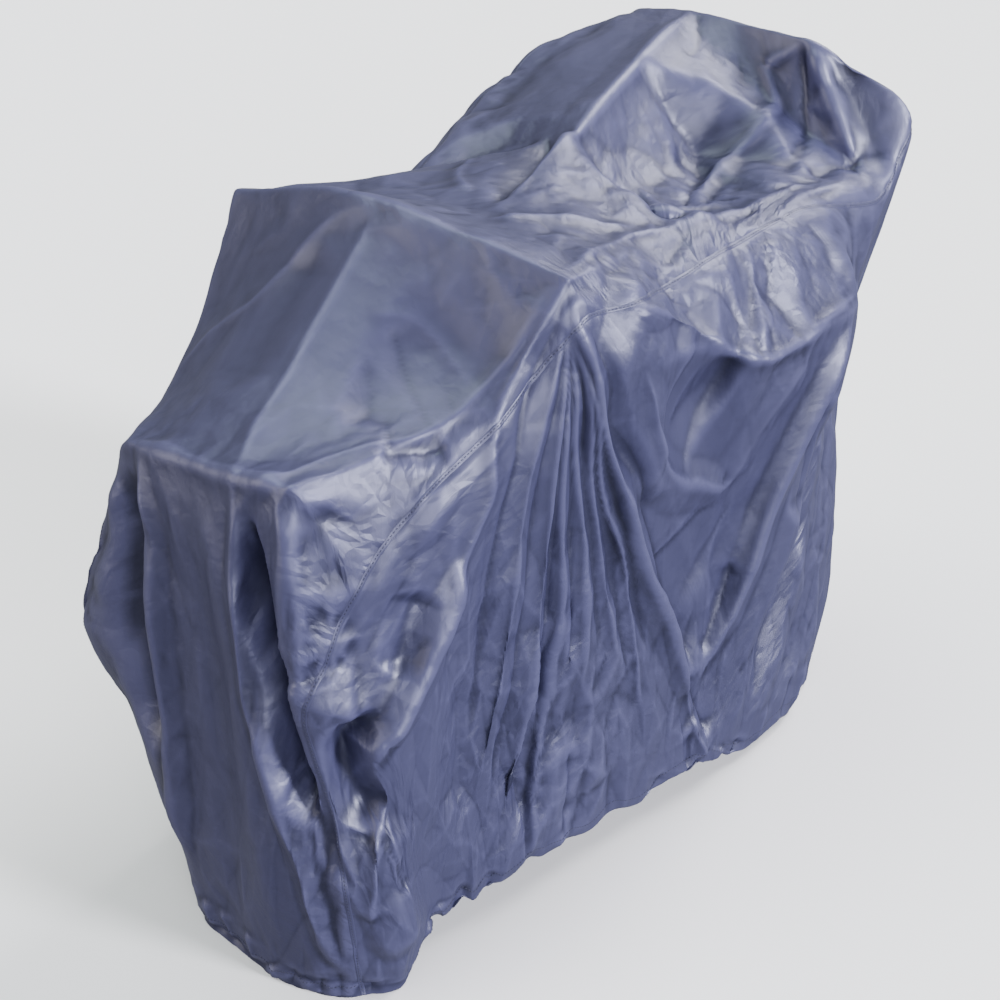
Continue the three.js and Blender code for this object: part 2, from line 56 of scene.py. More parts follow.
# Places across a section, counted outwards: 0 spine, 1 roof edge, 2 seam, 3 ledge, 4 waist, 5 hem and
# 6 the turned edge. They are negative on the right.
SEAM = 2
HEM = 5
TUCK = 6
STEPS_ACROSS = (40, 14, 30, 56, 52, 8)

# Hem, drawn in by elastic: how far its edge goes in and up, and how much less it is crumpled, over a
# reach in places
TUCK_DEPTH = 42
TUCK_RISE = 14
HEM_CALM = 0.8
HEM_CALM_REACH = 0.5

# The axis that the walls face away from
AXIS_FRONT_Y = -450
AXIS_REAR_Y = 330

# Lapped seam: distance across and lift of each line of its doubled cloth, and how much it is crumpled
LAP_PROFILE = ((-3.4, 0.05), (-3.0, 0.4), (-1.0, 0.5), (1.0, 0.5), (3.0, 0.4), (3.4, 0.05))
LAP_CRUMPLE = 0.3

# Stitches: pitch, length, sides, the step that gives their direction, and share of the length, radius and
# lift of each ring. Those of a seam run along its middle, and those of a hem at a distance from its edge.
STITCH_PITCH = 5.0
STITCH_LENGTH = 3.5
STITCH_SIDES = 6
STITCH_AHEAD = 1.0
STITCH_RINGS = ((0.0, 0.2, -0.2), (0.22, 0.5, 0.35), (0.78, 0.5, 0.35), (1.0, 0.2, -0.2))
SEAM_STITCH_OFFSET = 0.0
SEAM_STITCH_LIFT = 0.45
HEM_STITCH_OFFSET = 20

# Turned hem at the two ends: roll radius, angles of its rows in degrees, and heights of the rows inside;
# and the least height of the cloth above the floor, in metres
HEM_ROLL = 3.0
HEM_TURNS = (45, 90, 135, 180)
HEM_RISES = (8, 18)
FLOOR_CLEARANCE = 0.0003

# Height of a crest, above the cloth around it, that is painted with the full highlight; a groove as deep is
# painted with the full shade
CREASE_LIGHT_FULL = 0.5

# Sections from the front hem over the top to the rear hem: station, x, y and z of the middle line, and
# mesh steps to the next station
SPINE_LINE = (
    ("front hem", 75, -645, 4, 30),
    ("front wall low", 70, -654, 160, 44),
    ("front wall middle", 60, -652, 410, 36),
    ("front wall high", 48, -648, 600, 22),
    ("shelf edge", 37, -636, 708, 24),
    ("shelf", 15, -541, 762, 26),
    ("slope", 0, -440, 832, 24),
    ("bar front", -10, -370, 889, 20),
    ("bar ridge", -15, -334, 930, 24),
    ("bar back", 50, -200, 891, 44),
    ("saddle front", 19, -40, 917, 32),
    ("saddle middle", -20, 118, 946, 40),
    ("saddle rear", -56, 262, 973, 24),
    ("hood face", -77, 350, 989, 38),
    ("hood top", -99, 437, 1005, 26),
    ("hood back", -30, 520, 932, 40),
    ("rear wall high", 0, 545, 700, 40),
    ("rear wall low", 0, 560, 330, 38),
    ("rear hem", 0, 548, 12, 0),
)
# Half sections at the same stations: x, y and z of the roof edge, seam, ledge and hem, and the bulge of the
# waist. The columns where these start come first.
HALF_COLUMNS = (0, 3, 6, 9)
BULGE_COLUMN = 12
LEFT_HALF = (
    (150, -628, 4, 192, -597, 6, 217, -557, 8, 210, -520, 28, 4),
    (150, -645, 165, 204, -624, 200, 240, -568, 170, 205, -500, 45, 10),
    (145, -646, 420, 176, -640, 440, 235, -560, 380, 196, -480, 50, 10),
    (145, -642, 600, 190, -618, 525, 238, -520, 470, 204, -455, 50, 4),
    (158, -628, 728, 207, -572, 610, 240, -480, 540, 212, -430, 50, 0),
    (192, -500, 738, 225, -505, 680, 250, -430, 610, 222, -398, 50, 0),
    (214, -392, 772, 244, -392, 744, 262, -370, 680, 232, -355, 60, 0),
    (244, -330, 843, 264, -324, 808, 275, -310, 730, 244, -305, 70, 0),
    (264, -300, 889, 276, -284, 842, 288, -255, 740, 252, -215, 60, 4),
    (255, -245, 882, 275, -222, 832, 296, -190, 760, 264, -115, 45, 0),
    (210, -70, 852, 248, -80, 814, 292, -80, 746, 284, -22, 60, -18),
    (208, 70, 849, 250, 40, 826, 338, 32, 706, 288, 8, 50, -45),
    (210, 250, 845, 256, 185, 838, 328, 250, 706, 288, 50, 40, 8),
    (218, 395, 842, 262, 385, 800, 284, 276, 600, 292, 110, 22, -10),
    (114, 417, 998, 256, 488, 880, 242, 356, 560, 296, 205, 16, 20),
    (118, 505, 915, 225, 508, 790, 208, 425, 520, 278, 290, 16, 22),
    (120, 535, 700, 180, 492, 600, 204, 450, 400, 254, 365, 16, 20),
    (110, 550, 330, 165, 512, 320, 212, 452, 250, 224, 422, 14, 12),
    (90, 540, 12, 140, 516, 12, 168, 490, 12, 194, 450, 12, 2),
)
RIGHT_HALF = (
    (-45, -642, 4, -110, -585, 15, -170, -530, 15, -215, -505, 35, 4),
    (-70, -648, 170, -205, -590, 190, -240, -530, 170, -228, -480, 45, 10),
    (-76, -648, 420, -254, -632, 380, -262, -530, 350, -235, -460, 50, 10),
    (-84, -645, 600, -198, -626, 530, -252, -510, 470, -238, -438, 50, 4),
    (-112, -634, 694, -205, -565, 600, -250, -470, 530, -240, -412, 50, 0),
    (-170, -545, 690, -222, -500, 655, -256, -425, 600, -243, -378, 50, 0),
    (-218, -448, 728, -245, -415, 715, -268, -370, 670, -246, -335, 60, 0),
    (-252, -362, 812, -264, -350, 790, -282, -310, 720, -250, -280, 70, 0),
    (-264, -318, 880, -278, -300, 835, -292, -255, 735, -254, -190, 60, 4),
    (-252, -255, 872, -276, -225, 828, -300, -185, 752, -264, -90, 45, 0),
    (-110, -15, 888, -199, -60, 855, -298, -75, 742, -280, 5, 50, -14),
    (-140, 118, 926, -255, 118, 897, -336, 44, 706, -286, 60, 40, -34),
    (-160, 262, 966, -262, 262, 948, -338, 262, 706, -286, 115, 30, -6),
    (-155, 370, 991, -228, 388, 977, -305, 330, 600, -280, 170, 20, -10),
    (-185, 437, 998, -240, 470, 938, -280, 400, 560, -272, 235, 14, 8),
    (-128, 515, 930, -230, 520, 790, -250, 425, 490, -264, 305, 14, 10),
    (-130, 540, 700, -190, 500, 610, -230, 442, 395, -248, 368, 14, 10),
    (-110, 550, 330, -170, 520, 320, -212, 464, 250, -224, 424, 14, 8),
    (-90, 540, 12, -140, 516, 12, -168, 490, 12, -200, 456, 12, 2),
)

# Folds with straight flanks: name, width, height, and the spots they run through, each a station and a
# place
FOLDS = (
    ("front ridge", 13, 17, ((3.95, 0.3), (3.2, 0.38), (2.7, 0.37), (2.25, 0.37), (1.85, 0.55),
        (1.55, 0.83), (1.2, 1.1), (0.6, 1.3), (0.25, 1.8))),
    ("front trough", 12, -66, ((3.62, 0.46), (2.9, 0.6), (2.6, 0.74), (2.3, 0.9), (1.9, 1.06),
        (1.55, 1.3), (1.42, 1.6))),
    ("corner column", 18, 5, ((3.95, 0.8), (3.2, 1.14), (2.65, 1.15), (2.2, 1.12))),
    ("corner hollow", 20, -8, ((4.2, 1.3), (3.85, 1.6), (3.5, 1.75))),
    ("front pleat, right", 16, 16, ((3.95, -0.82), (3.05, -0.9), (2.5, -0.95), (1.9, -0.98),
        (1.4, -1.0), (0.6, -1.02))),
    ("front trough, right", 24, -34, ((3.7, -1.12), (3.0, -1.17), (2.4, -1.22), (1.9, -1.22),
        (1.3, -1.22))),
    ("front crest, right", 14, 8, ((3.7, -1.35), (3.3, -1.45), (2.7, -1.5), (2.2, -1.6))),
    ("knee", 30, 9, ((2.45, 1.6), (2.3, 2.1), (2.42, 2.5))),
    ("knee trough", 14, -30, ((2.35, 2.68), (2.05, 2.53), (1.85, 2.4), (1.65, 2.42), (1.5, 2.5),
        (1.4, 2.6))),
    ("knee ridge", 13, 14, ((4.6, 2.75), (4.0, 2.98), (3.3, 2.92), (2.75, 2.9), (2.35, 2.87),
        (2.0, 2.72), (1.75, 2.66))),
    ("knee hollow", 16, -13, ((4.1, 2.55), (3.7, 2.6), (3.2, 2.68), (2.85, 2.72))),
    ("corner roll", 22, 12, ((1.5, 2.75), (1.0, 2.85), (0.4, 2.8))),
    ("fan ridge, bold", 14, 11, ((7.75, 1.6), (7.61, 1.95), (7.64, 3.02), (8.38, 3.55), (9.32, 4.06),
        (9.95, 4.46), (10.3, 4.6))),
    ("hollow behind it", 24, -13, ((8.75, 3.5), (9.4, 3.8), (10.02, 4.14), (10.5, 4.4))),
    ("fan band", 15, 8, ((8.3, 2.12), (8.2, 2.52), (8.22, 2.83), (8.5, 3.25), (8.97, 3.45),
        (9.43, 3.57))),
    ("fan hollow, low", 16, -14, ((6.9, 3.85), (6.7, 4.2), (6.3, 4.7))),
    ("scoop lip", 20, 10, ((8.7, 2.95), (8.95, 3.25), (9.5, 3.52), (9.95, 3.6), (10.6, 3.62),
        (11.0, 3.57))),
    ("arm shoulder", 55, 20, ((8.5, 2.0), (9.1, 2.3), (9.6, 2.65), (10.1, 2.95), (10.5, 3.0))),
    ("arm tail", 20, 8, ((11.4, 3.08), (11.15, 3.28), (10.98, 3.46), (10.75, 3.62))),
    ("long diagonal", 16, 15, ((11.85, 2.98), (11.6, 3.4), (11.5, 3.82), (11.48, 3.98), (11.35, 4.2),
        (11.0, 4.38), (10.6, 4.45))),
    ("pocket behind it", 20, -16, ((11.75, 3.35), (11.97, 3.65), (12.2, 3.9))),
    ("rear corner ridge", 22, 10, ((13.4, 3.2), (13.4, 4.0), (13.1, 4.8))),
    ("rear corner hollow", 22, -12, ((14.1, 3.2), (14.0, 4.0), (13.9, 4.7))),
    ("rear corner ridge, outer", 22, 10, ((14.9, 2.9), (14.9, 3.8), (14.8, 4.8))),
    ("saddle pocket", 70, -66, ((10.3, 0.47), (11.4, 0.5), (12.6, 0.42))),
    ("saddle ridge", 20, 7, ((13.8, 0.0), (12.0, 0.0), (10.5, 0.0), (9.3, 0.02))),
    ("saddle valley, right", 22, -10, ((10.0, -1.9), (10.35, -0.9), (10.4, -0.45), (10.0, -0.22),
        (9.4, -0.1))),
    ("hood corner", 14, 8, ((13.95, 1.0), (13.5, 1.02), (13.1, 1.05))),
    ("wing hollow", 24, -7, ((10.4, -1.45), (11.0, -1.5), (11.8, -1.55), (12.5, -1.6), (13.2, -1.5))),
    ("hood hollow, left", 26, -14, ((13.95, 1.15), (13.6, 1.4), (13.2, 1.7))),
    ("rear groove, right", 26, -16, ((15.4, -0.9), (16.5, -0.8), (17.8, -0.9))),
    ("rear ridge", 30, 10, ((15.4, 0.1), (16.6, 0.0), (17.8, 0.2))),
    ("rear groove, left", 26, -16, ((15.6, 0.9), (16.6, 1.05), (17.7, 1.1))),
    ("far rear corner ridge", 26, 12, ((15.8, -3.2), (16.6, -3.2), (17.6, -3.2))),
    ("far fan groove, first", 20, -12, ((7.4, -1.7), (6.6, -3.1), (6.2, -4.6))),
    ("far fan ridge", 18, 10, ((7.6, -1.7), (7.1, -3.2), (7.0, -4.7))),
    ("far fan groove, second", 20, -12, ((7.9, -1.8), (7.7, -3.2), (7.8, -4.7))),
    ("far fan ridge, bold", 20, 14, ((7.9, -1.6), (8.5, -3.4), (10.3, -4.5))),
    ("far diagonal", 18, 14, ((11.9, -3.0), (11.7, -3.8), (11.2, -4.5))),
    ("far pocket", 28, -24, ((12.4, -3.4), (12.3, -4.0), (12.0, -4.5))),
    ("far rear ridge", 22, 10, ((13.6, -3.2), (13.6, -4.0), (13.5, -4.8))),
    ("far rear groove", 22, -14, ((14.3, -3.1), (14.3, -4.0), (14.2, -4.8))),
)

# Broad rounded hollows and swells, listed the same way
HOLLOWS = (
    ("front hollow", 34, -9, ((3.6, -0.3), (2.5, -0.3), (1.5, -0.3), (0.4, -0.35))),
    ("front swell", 28, 7, ((3.7, -0.02), (2.2, 0.02), (1.2, 0.2), (0.4, 0.3))),
    ("scoop", 70, -16, ((9.4, 3.15), (10.0, 3.2), (10.5, 3.2))),
    ("swag hollow", 50, -9, ((9.8, 3.8), (10.4, 4.0), (10.9, 4.0))),
    ("slope hollow", 40, -8, ((6.9, -0.15), (6.0, -0.2), (4.9, -0.25))),
    ("shelf hollow, left", 42, -5, ((6.8, 0.65), (6.0, 0.6), (5.0, 0.6))),
    ("far swag hollow", 60, -20, ((9.4, -3.4), (10.4, -3.7), (11.2, -3.8))),
)

# Sharp creases, listed the same way
CREASES = (
    ("rim", 10, 5, ((4.05, -1.02), (4.1, -0.5), (4.05, -0.04), (4.05, 0.45), (4.15, 0.73), (4.5, 0.8),
        (4.75, 0.85), (5.15, 0.98), (5.5, 1.12), (5.95, 1.03), (6.55, 1.0), (7.3, 0.96), (7.9, 0.98))),
    ("pocket under the rim", 15, -8, ((4.85, 0.98), (5.1, 1.22), (5.45, 1.5))),
    ("roof crest", 10, 6, ((8.0, 0.95), (9.6, 0.86), (10.2, 0.92), (11.1, 1.02), (12.0, 1.1),
        (12.6, 1.3))),
    ("arm edge", 9, 8, ((8.98, 2.02), (9.5, 2.52), (10.03, 2.93), (10.51, 3.0), (11.0, 3.0),
        (11.25, 3.0), (11.57, 2.93), (12.08, 2.88))),
    ("slope crease", 14, 5, ((7.6, -0.06), (6.5, -0.32), (6.1, -0.5), (5.95, -0.75), (5.6, -1.0))),
    ("slope facet edge", 16, 6, ((7.55, 0.1), (6.0, 0.1), (5.2, 0.14), (4.7, 0.16), (4.2, 0.27))),
    ("flap fold", 14, 2, ((6.15, 0.32), (6.35, 0.5), (6.3, 0.62), (5.95, 0.98))),
    ("flap groove", 14, -2, ((6.15, 0.44), (5.75, 0.66), (5.4, 0.95))),
    ("saddle ridge edge", 9, 6, ((13.95, 0.0), (12.5, 0.0), (11.0, 0.0), (10.0, 0.0), (9.25, 0.02))),
    ("saddle groove", 13, -13, ((10.45, -0.42), (10.1, -0.25), (9.7, -0.12), (9.2, -0.02))),
    ("saddle valley edge", 10, -7, ((10.0, -1.7), (10.2, -1.0), (10.4, -0.5))),
    ("bright facet crease", 8, 5, ((9.9, -0.95), (9.6, -0.5), (9.35, -0.2))),
    ("hood nick", 7, -4, ((13.95, 0.08), (13.5, 0.14), (13.0, 0.15), (12.7, 0.14))),
    ("hood front edge", 10, 9, ((13.95, 0.93), (13.5, 0.58), (12.9, 0.58), (12.4, 0.62), (11.9, 0.63),
        (11.3, 0.7))),
    ("hood crease", 9, -8, ((13.9, 0.92), (13.2, 0.75), (12.6, 0.8), (12.2, 0.88))),
    ("hood end edge", 9, 7, ((13.98, 1.0), (13.6, 1.02), (13.2, 1.05), (12.9, 1.1))),
    ("hood foot", 12, -11, ((12.4, 0.94), (12.8, 0.97), (13.1, 1.05), (13.2, 1.3))),
    ("pocket crest", 9, 10, ((11.05, 0.46), (10.95, 0.62), (10.85, 0.72), (11.05, 0.82), (11.4, 0.9))),
    ("pocket groove", 10, -15, ((10.75, 0.56), (10.45, 0.75), (10.5, 0.85), (10.75, 0.93))),
    ("pocket notch", 8, -9, ((11.95, 0.57), (11.5, 0.65), (11.1, 0.75))),
    ("pocket notch, second", 8, -7, ((11.9, 0.68), (11.5, 0.75), (11.25, 0.82))),
    ("saddle sag line", 9, 6, ((8.9, 0.1), (9.2, 0.25), (9.5, 0.47), (9.75, 0.68), (10.0, 0.8))),
    ("arm crease, first", 9, 5, ((11.2, 2.1), (11.0, 2.58), (10.8, 2.97))),
    ("arm crease, second", 9, -3, ((11.4, 2.3), (11.1, 2.7), (10.95, 2.95))),
    ("fan seam edge", 8, 6, ((7.86, 1.02), (6.75, 1.29), (6.16, 1.64), (5.38, 2.74), (4.6, 2.86),
        (3.98, 2.91))),
    ("fan groove, first", 8, -6, ((7.5, 1.3), (6.5, 2.0), (5.85, 2.85), (5.2, 3.35), (4.9, 3.7),
        (4.6, 4.0))),
    ("fan pleat, first", 7, 6, ((7.7, 1.23), (6.8, 2.41), (5.98, 3.17), (5.56, 3.74), (5.31, 3.93),
        (4.84, 4.25))),
    ("fan groove, second", 7, -6, ((7.55, 1.4), (6.82, 2.64), (6.3, 3.27), (6.02, 3.73), (5.77, 4.03),
        (5.28, 4.37))),
    ("fan pleat, second", 7, 9, ((7.54, 1.48), (6.84, 2.87), (6.61, 3.37), (6.49, 3.72), (6.23, 4.14),
        (5.72, 4.49))),
    ("fan groove, third", 7, -9, ((7.45, 1.6), (6.9, 2.89), (6.73, 3.38), (6.75, 3.74), (6.58, 4.12),
        (6.1, 4.53))),
    ("fan pleat, third", 7, 9, ((7.41, 1.73), (6.95, 2.91), (6.85, 3.39), (7.01, 3.75), (6.94, 4.1),
        (6.51, 4.58))),
    ("fan groove, fourth", 7, -8, ((7.37, 1.9), (7.03, 3.0), (7.18, 3.5), (7.3, 3.85), (7.27, 4.13))),
    ("fan pleat, fourth", 7, 8, ((7.34, 2.02), (7.12, 3.12), (7.51, 3.62), (7.6, 3.94), (7.6, 4.17))),
    ("fan groove, fifth", 7, -7, ((7.34, 2.1), (7.3, 3.17), (7.72, 3.65), (8.0, 4.04))),
    ("fan pleat, fifth", 7, 7, ((7.35, 2.17), (7.49, 3.22), (7.93, 3.68), (8.4, 4.14))),
    ("fan groove, sixth", 7, -7, ((7.35, 2.23), (7.58, 3.26), (8.25, 3.76), (8.67, 4.26))),
    ("fan pleat, sixth", 7, 7, ((7.35, 2.29), (7.68, 3.31), (8.56, 3.83), (8.94, 4.38))),
    ("fan groove, seventh", 7, -7, ((7.45, 2.1), (7.66, 3.16), (8.45, 3.7), (9.1, 4.2))),
    ("fan ridge, bold", 9, 12, ((7.9, 1.3), (7.61, 1.95), (7.64, 3.02), (8.38, 3.55), (9.32, 4.06),
        (9.95, 4.46), (10.3, 4.62))),
    ("fan groove, bold", 10, -8, ((7.75, 2.0), (7.9, 2.6), (8.03, 3.15), (9.2, 3.66), (9.95, 4.14),
        (10.5, 4.42))),
    ("scoop lip", 10, 6, ((8.7, 2.95), (8.95, 3.25), (9.5, 3.5), (9.95, 3.58), (10.6, 3.6),
        (11.0, 3.55))),
    ("long diagonal", 12, 7, ((11.85, 2.98), (11.6, 3.4), (11.5, 3.82), (11.48, 3.98), (11.35, 4.2),
        (11.0, 4.38), (10.6, 4.45))),
    ("diagonal groove", 12, -8, ((11.3, 4.0), (11.2, 4.15), (11.0, 4.28), (10.8, 4.35))),
    ("pocket crease", 12, -12, ((10.2, 4.42), (10.7, 4.55), (11.3, 4.7))),
    ("pocket ridge", 12, 9, ((10.1, 4.6), (10.6, 4.72), (11.2, 4.85))),
    ("front ridge edge", 9, 5, ((3.9, 0.3), (3.2, 0.38), (2.7, 0.37), (2.25, 0.37), (1.85, 0.55),
        (1.55, 0.83), (1.2, 1.1), (0.6, 1.3))),
    ("corner column edge", 10, 6, ((4.0, 0.76), (3.2, 1.13), (2.65, 1.15), (2.2, 1.1))),
    ("corner column, second", 9, 5, ((3.85, 1.12), (3.3, 1.3), (2.8, 1.5), (2.5, 1.55))),
    ("front pleat edge", 10, 5, ((3.95, -0.82), (3.05, -0.9), (2.5, -0.95), (1.9, -0.98), (1.4, -1.0))),
    ("knee ridge edge", 9, 6, ((4.6, 2.75), (4.0, 2.98), (3.3, 2.92), (2.75, 2.9), (2.35, 2.87),
        (2.0, 2.72), (1.75, 2.6))),
    ("tuck ridge", 10, 9, ((1.4, 2.6), (1.1, 2.5), (0.8, 2.35))),
    ("tuck crease", 10, -7, ((1.4, 2.62), (1.25, 2.9), (1.1, 3.2))),
    ("hem gather, first", 12, -12, ((6.35, 4.1), (6.3, 4.5), (6.35, 4.9))),
    ("hem gather, second", 12, 9, ((6.9, 4.3), (6.6, 4.6), (6.5, 4.9))),
    ("hem gather, third", 12, -9, ((7.4, 4.4), (7.4, 4.9))),
)

# The groove that a seam draws: half width, depth, rows of the net between puckers, least share of the
# depth between them, and seed
SEAM_GROOVE_WIDTH = 5
SEAM_GROOVE_DEPTH = 3
SEAM_PUCKER_ROWS = 4
SEAM_PUCKER_LEAST = 0.15
SEAM_SEED = 8

# Gathers at the hem: crease width, least and most height, and on the sides and at the ends: gap, reach and
# lean, where the row begins, and the first step of each gather, in stations or places
GATHER_WIDTH = 11
GATHER_HEIGHT = (3, 8)
GATHER_GAP_SIDE = (0.45, 1.1)
GATHER_REACH_SIDE = (0.12, 0.5)
GATHER_LEAN_SIDE = (-0.3, 0.3)
GATHER_MARGIN_SIDE = 0.3
GATHER_BELOW_SIDE = 0.3
GATHER_GAP_END = (0.16, 0.4)
GATHER_REACH_END = (0.1, 0.45)
GATHER_LEAN_END = (-0.15, 0.15)
GATHER_FIRST_END = -2.4
GATHER_LAST_END = 2.4
GATHER_INSIDE_END = 0.02
HEM_SEED = 7

# Rise and fall of the hem: height, knots to a station, and reach in places
HEM_WAVE = 9
HEM_WAVE_KNOTS = 2
HEM_WAVE_REACH = 0.9

# Puckered knob under the cloth at the front corner: station and place, radius, height, depth and number
# of its creases, and radius and width of their ring in radii of the knob
PUCKER_AT = (3.15, 1.95)
PUCKER_RADIUS = 20
PUCKER_HEIGHT = 3
PUCKER_CREASE = -2
PUCKER_CREASES = 9
PUCKER_RING = 1.4
PUCKER_RING_WIDTH = 0.5

# Where the cloth is crumpled into facets: name, station, place, reach in stations and in places, and
# strength. Elsewhere it has the base strength.
CRUMPLES = (
    ("slope", 6.0, 0.0, 1.8, 1.2, 0.06),
    ("front", 2.2, -0.2, 1.8, 0.8, 0.2),
    ("arm top", 10.6, 2.0, 2.0, 0.9, 0.9),
    ("front corner", 3.6, 1.8, 1.3, 0.8, 0.9),
    ("under the rim", 5.0, 1.8, 0.8, 0.7, 0.6),
    ("lower front corner", 1.2, 2.2, 1.0, 1.2, 0.9),
    ("rear side", 13.0, 3.9, 1.8, 0.9, 0.6),
    ("low rear", 11.0, 4.5, 1.2, 0.4, 0.6),
    ("saddle", 10.6, 0.4, 1.6, 0.6, 0.5),
    ("hood", 13.3, 0.5, 0.8, 0.8, 0.35),
    ("far wing", 12.0, -0.9, 1.5, 0.7, 0.08),
    ("far arm top", 10.8, -2.6, 2.2, 0.5, 0.6),
    ("far rear side", 13.6, -3.8, 1.6, 0.9, 0.8),
    ("far front corner", 2.5, -2.6, 1.4, 1.0, 0.8),
    ("fan", 7.1, 2.9, 1.3, 0.9, 0.08),
    ("low fan", 6.8, 4.4, 2.5, 0.6, 0.85),
    ("low front side", 4.4, 4.0, 1.3, 0.9, 0.85),
    ("saddle ridge", 11.8, 0.0, 2.4, 0.16, 0.06),
    ("hood top", 14.0, -0.5, 0.5, 2.0, 0.1),
    ("corner column", 2.9, 1.1, 1.2, 0.32, 0.08),
    ("scoop", 10.0, 3.35, 1.2, 0.42, 0.05),
    ("arm edge", 9.7, 2.66, 0.45, 0.35, 0.15),
    ("swag", 10.2, 3.95, 1.0, 0.4, 0.12),
    ("long diagonal", 11.6, 3.8, 0.45, 0.8, 0.12),
)
BASE_CRUMPLE = 0.36
# Facets, large to small: spacing of their corners, height and seed; and spots tried as corners
FACETS = ((66.0, 13.0, 51), (33.0, 10.0, 52), (17.0, 4.4, 53))
FACET_TRIES = 60000
# Facets of the upright walls are longer than they are wide: share of a facet's height that counts
FACET_UPRIGHT = 0.6
# Distance at which two corners are one, margin around a facet, and how far its edge reaches outside
CORNER_MERGE = 1e-4
FACET_MARGIN = 1e-3
FACET_EDGE = 1e-6

# Where the smooth drape turns a corner: stations, each with its share, and places, each with its first and
# last station and its share, and how far such a range fades out
CORNER_STATIONS = ((4, 1.0), (8, 0.9), (14, 0.8))
CORNER_PLACES = ((0, 9.3, 13.8, 0.9), (1, 4.4, 13.8, 0.9), (-1, 4.4, 9.2, 0.9), (3, 9.2, 11.8, 0.9),
                 (-3, 9.2, 12.4, 0.9))
CORNER_FADE = 0.5

# Strokes: steps from one spot to the next, reach in widths, where along it the rise starts, share of the
# width at its tips and what the middle adds, and share of its length over which each kind fades
STROKE_STEPS = 8
NEAR = 3.2
TIP_START = -0.02
TIP_WIDTH = 0.45
MIDDLE_WIDTH = 0.55
FOLD_FADE = 0.2
CREASE_FADE = 0.15
GATHER_FADE = 0.3
# Bend of a sharp crease; bend of a pleat, length of its flanks in widths, and softness of their feet
CREASE_BEND = 1.2
PLEAT_BEND = 0.3
PLEAT_FLANK = 1.7
PLEAT_FOOT = 0.01

# Smoothing, as a share drawn towards the neighbours and a number of rounds: of the drape, the crumpled
# cloth, the calm net that folds are compared with, the share between them, and the cloth under the crests
DRAPE_EASE = (0.5, 3)
CLOTH_EASE = (0.15, 1)
CALM_EASE = (0.5, 4)
SHARE_EASE = (0.5, 2)
# The painted crease highlight and shade are measured against the cloth smoothed by these rounds
CREASE_LIGHT_EASE = (0.5, 3)
# Cloth that would fold through itself: rounds, and how far its normals agree with the calm net's where it
# is drawn smooth and where it is left
FOLD_ROUNDS = 4
FOLD_FACING = (0.35, 0.75)

# A length or area that counts as nothing
TINY = 1e-9


def slopes_through(values):
    """Slopes of a monotone cubic through rows of values at 0, 1, 2 ..."""
    steps = np.diff(values, axis=0)
    before = steps[:-1]
    after = steps[1:]
    same_way = before * after > 0
    total = np.where(same_way, before + after, 1.0)
    inner = np.where(same_way, 2 * before * after / total, 0.0)
    return np.concatenate([steps[:1], inner, steps[-1:]])


def smooth_at(values, at, corner=0.0):
    """The monotone cubic through rows of values, read at an array of positions. Where corner is 1 the
    curve comes straight to the row and leaves it straight."""
    values = np.asarray(values, float)
    at = np.asarray(at, float)
    steps = np.diff(values, axis=0)
    slopes = slopes_through(values)
    corner = np.broadcast_to(corner, values.shape)
    leaving = slopes[:-1] + (steps - slopes[:-1]) * corner[:-1]
    coming = slopes[1:] + (steps - slopes[1:]) * corner[1:]
    i = np.clip(np.floor(at).astype(int), 0, len(values) - 2)
    t = (at - i).reshape((-1,) + (1,) * (values.ndim - 1))
    t2 = t * t
    t3 = t2 * t
    start = values[i] * (2 * t3 - 3 * t2 + 1) + leaving[i] * (t3 - 2 * t2 + t)
    end = values[i + 1] * (3 * t2 - 2 * t3) + coming[i] * (t3 - t2)
    return start + end


def smoothstep(value, low, high):
    t = np.clip((value - low) / (high - low), 0.0, 1.0)
    return t * t * (3 - 2 * t)


def lengths(vectors):
    return np.sqrt(np.sum(vectors * vectors, axis=-1))


def unit(vectors):
    return vectors / np.maximum(lengths(vectors), TINY)[..., None]


def reached_along(line):
    """How far along a line each of its points lies."""
    return np.concatenate([[0.0], np.cumsum(lengths(np.diff(line, axis=0)))])


def reached_across(net):
    """How far across from its first point each point of a net's rows lies."""
    gaps = lengths(np.diff(net, axis=1))
    return np.concatenate([np.zeros((len(net), 1)), np.cumsum(gaps, axis=1)], axis=1)


def outwards(points):
    """Level directions away from the cover's long axis."""
    axis_y = np.clip(points[..., 1], AXIS_FRONT_Y, AXIS_REAR_Y)
    level = np.stack([points[..., 0], points[..., 1] - axis_y, np.zeros_like(axis_y)], axis=-1)
    return unit(level)


def half_sections(table):
    """Each half section as points from the roof edge to the turned edge of the hem."""
    rows = np.array(table, float)
    rim, seam, ledge, hem = (rows[:, k:k + 3] for k in HALF_COLUMNS)
    bulge = rows[:, BULGE_COLUMN:BULGE_COLUMN + 1]
    waist = (ledge + hem) / 2
    waist = waist + outwards(waist) * bulge
    tuck = hem - outwards(hem) * TUCK_DEPTH + np.array([0, 0, TUCK_RISE])
    return np.stack([rim, seam, ledge, waist, hem, tuck], axis=1)


spine_points = np.array([row[1:4] for row in SPINE_LINE], float)[:, None, :]
SECTIONS = np.concatenate(
    [half_sections(RIGHT_HALF)[:, ::-1], spine_points, half_sections(LEFT_HALF)], axis=1)
LAST_STATION = len(SPINE_LINE) - 1


def drape_net(stations, places):
    """The smooth drape on a net of stations by places."""
    corner = np.zeros(SECTIONS.shape[:2] + (1,))
    for station, share in CORNER_STATIONS:
        corner[station, TUCK - 1:TUCK + 2] = share
    lengthwise = smooth_at(SECTIONS, stations, corner)
    corner = np.zeros((SECTIONS.shape[1], len(stations), 1))
    for place, first, last, share in CORNER_PLACES:
        begun = smoothstep(stations, first - CORNER_FADE, first)
        ended = smoothstep(stations, last, last + CORNER_FADE)
        corner[TUCK + place, :, 0] = share * (begun * (1 - ended))
    across = smooth_at(np.swapaxes(lengthwise, 0, 1), np.asarray(places) + TUCK, corner)
    return np.swapaxes(across, 0, 1)


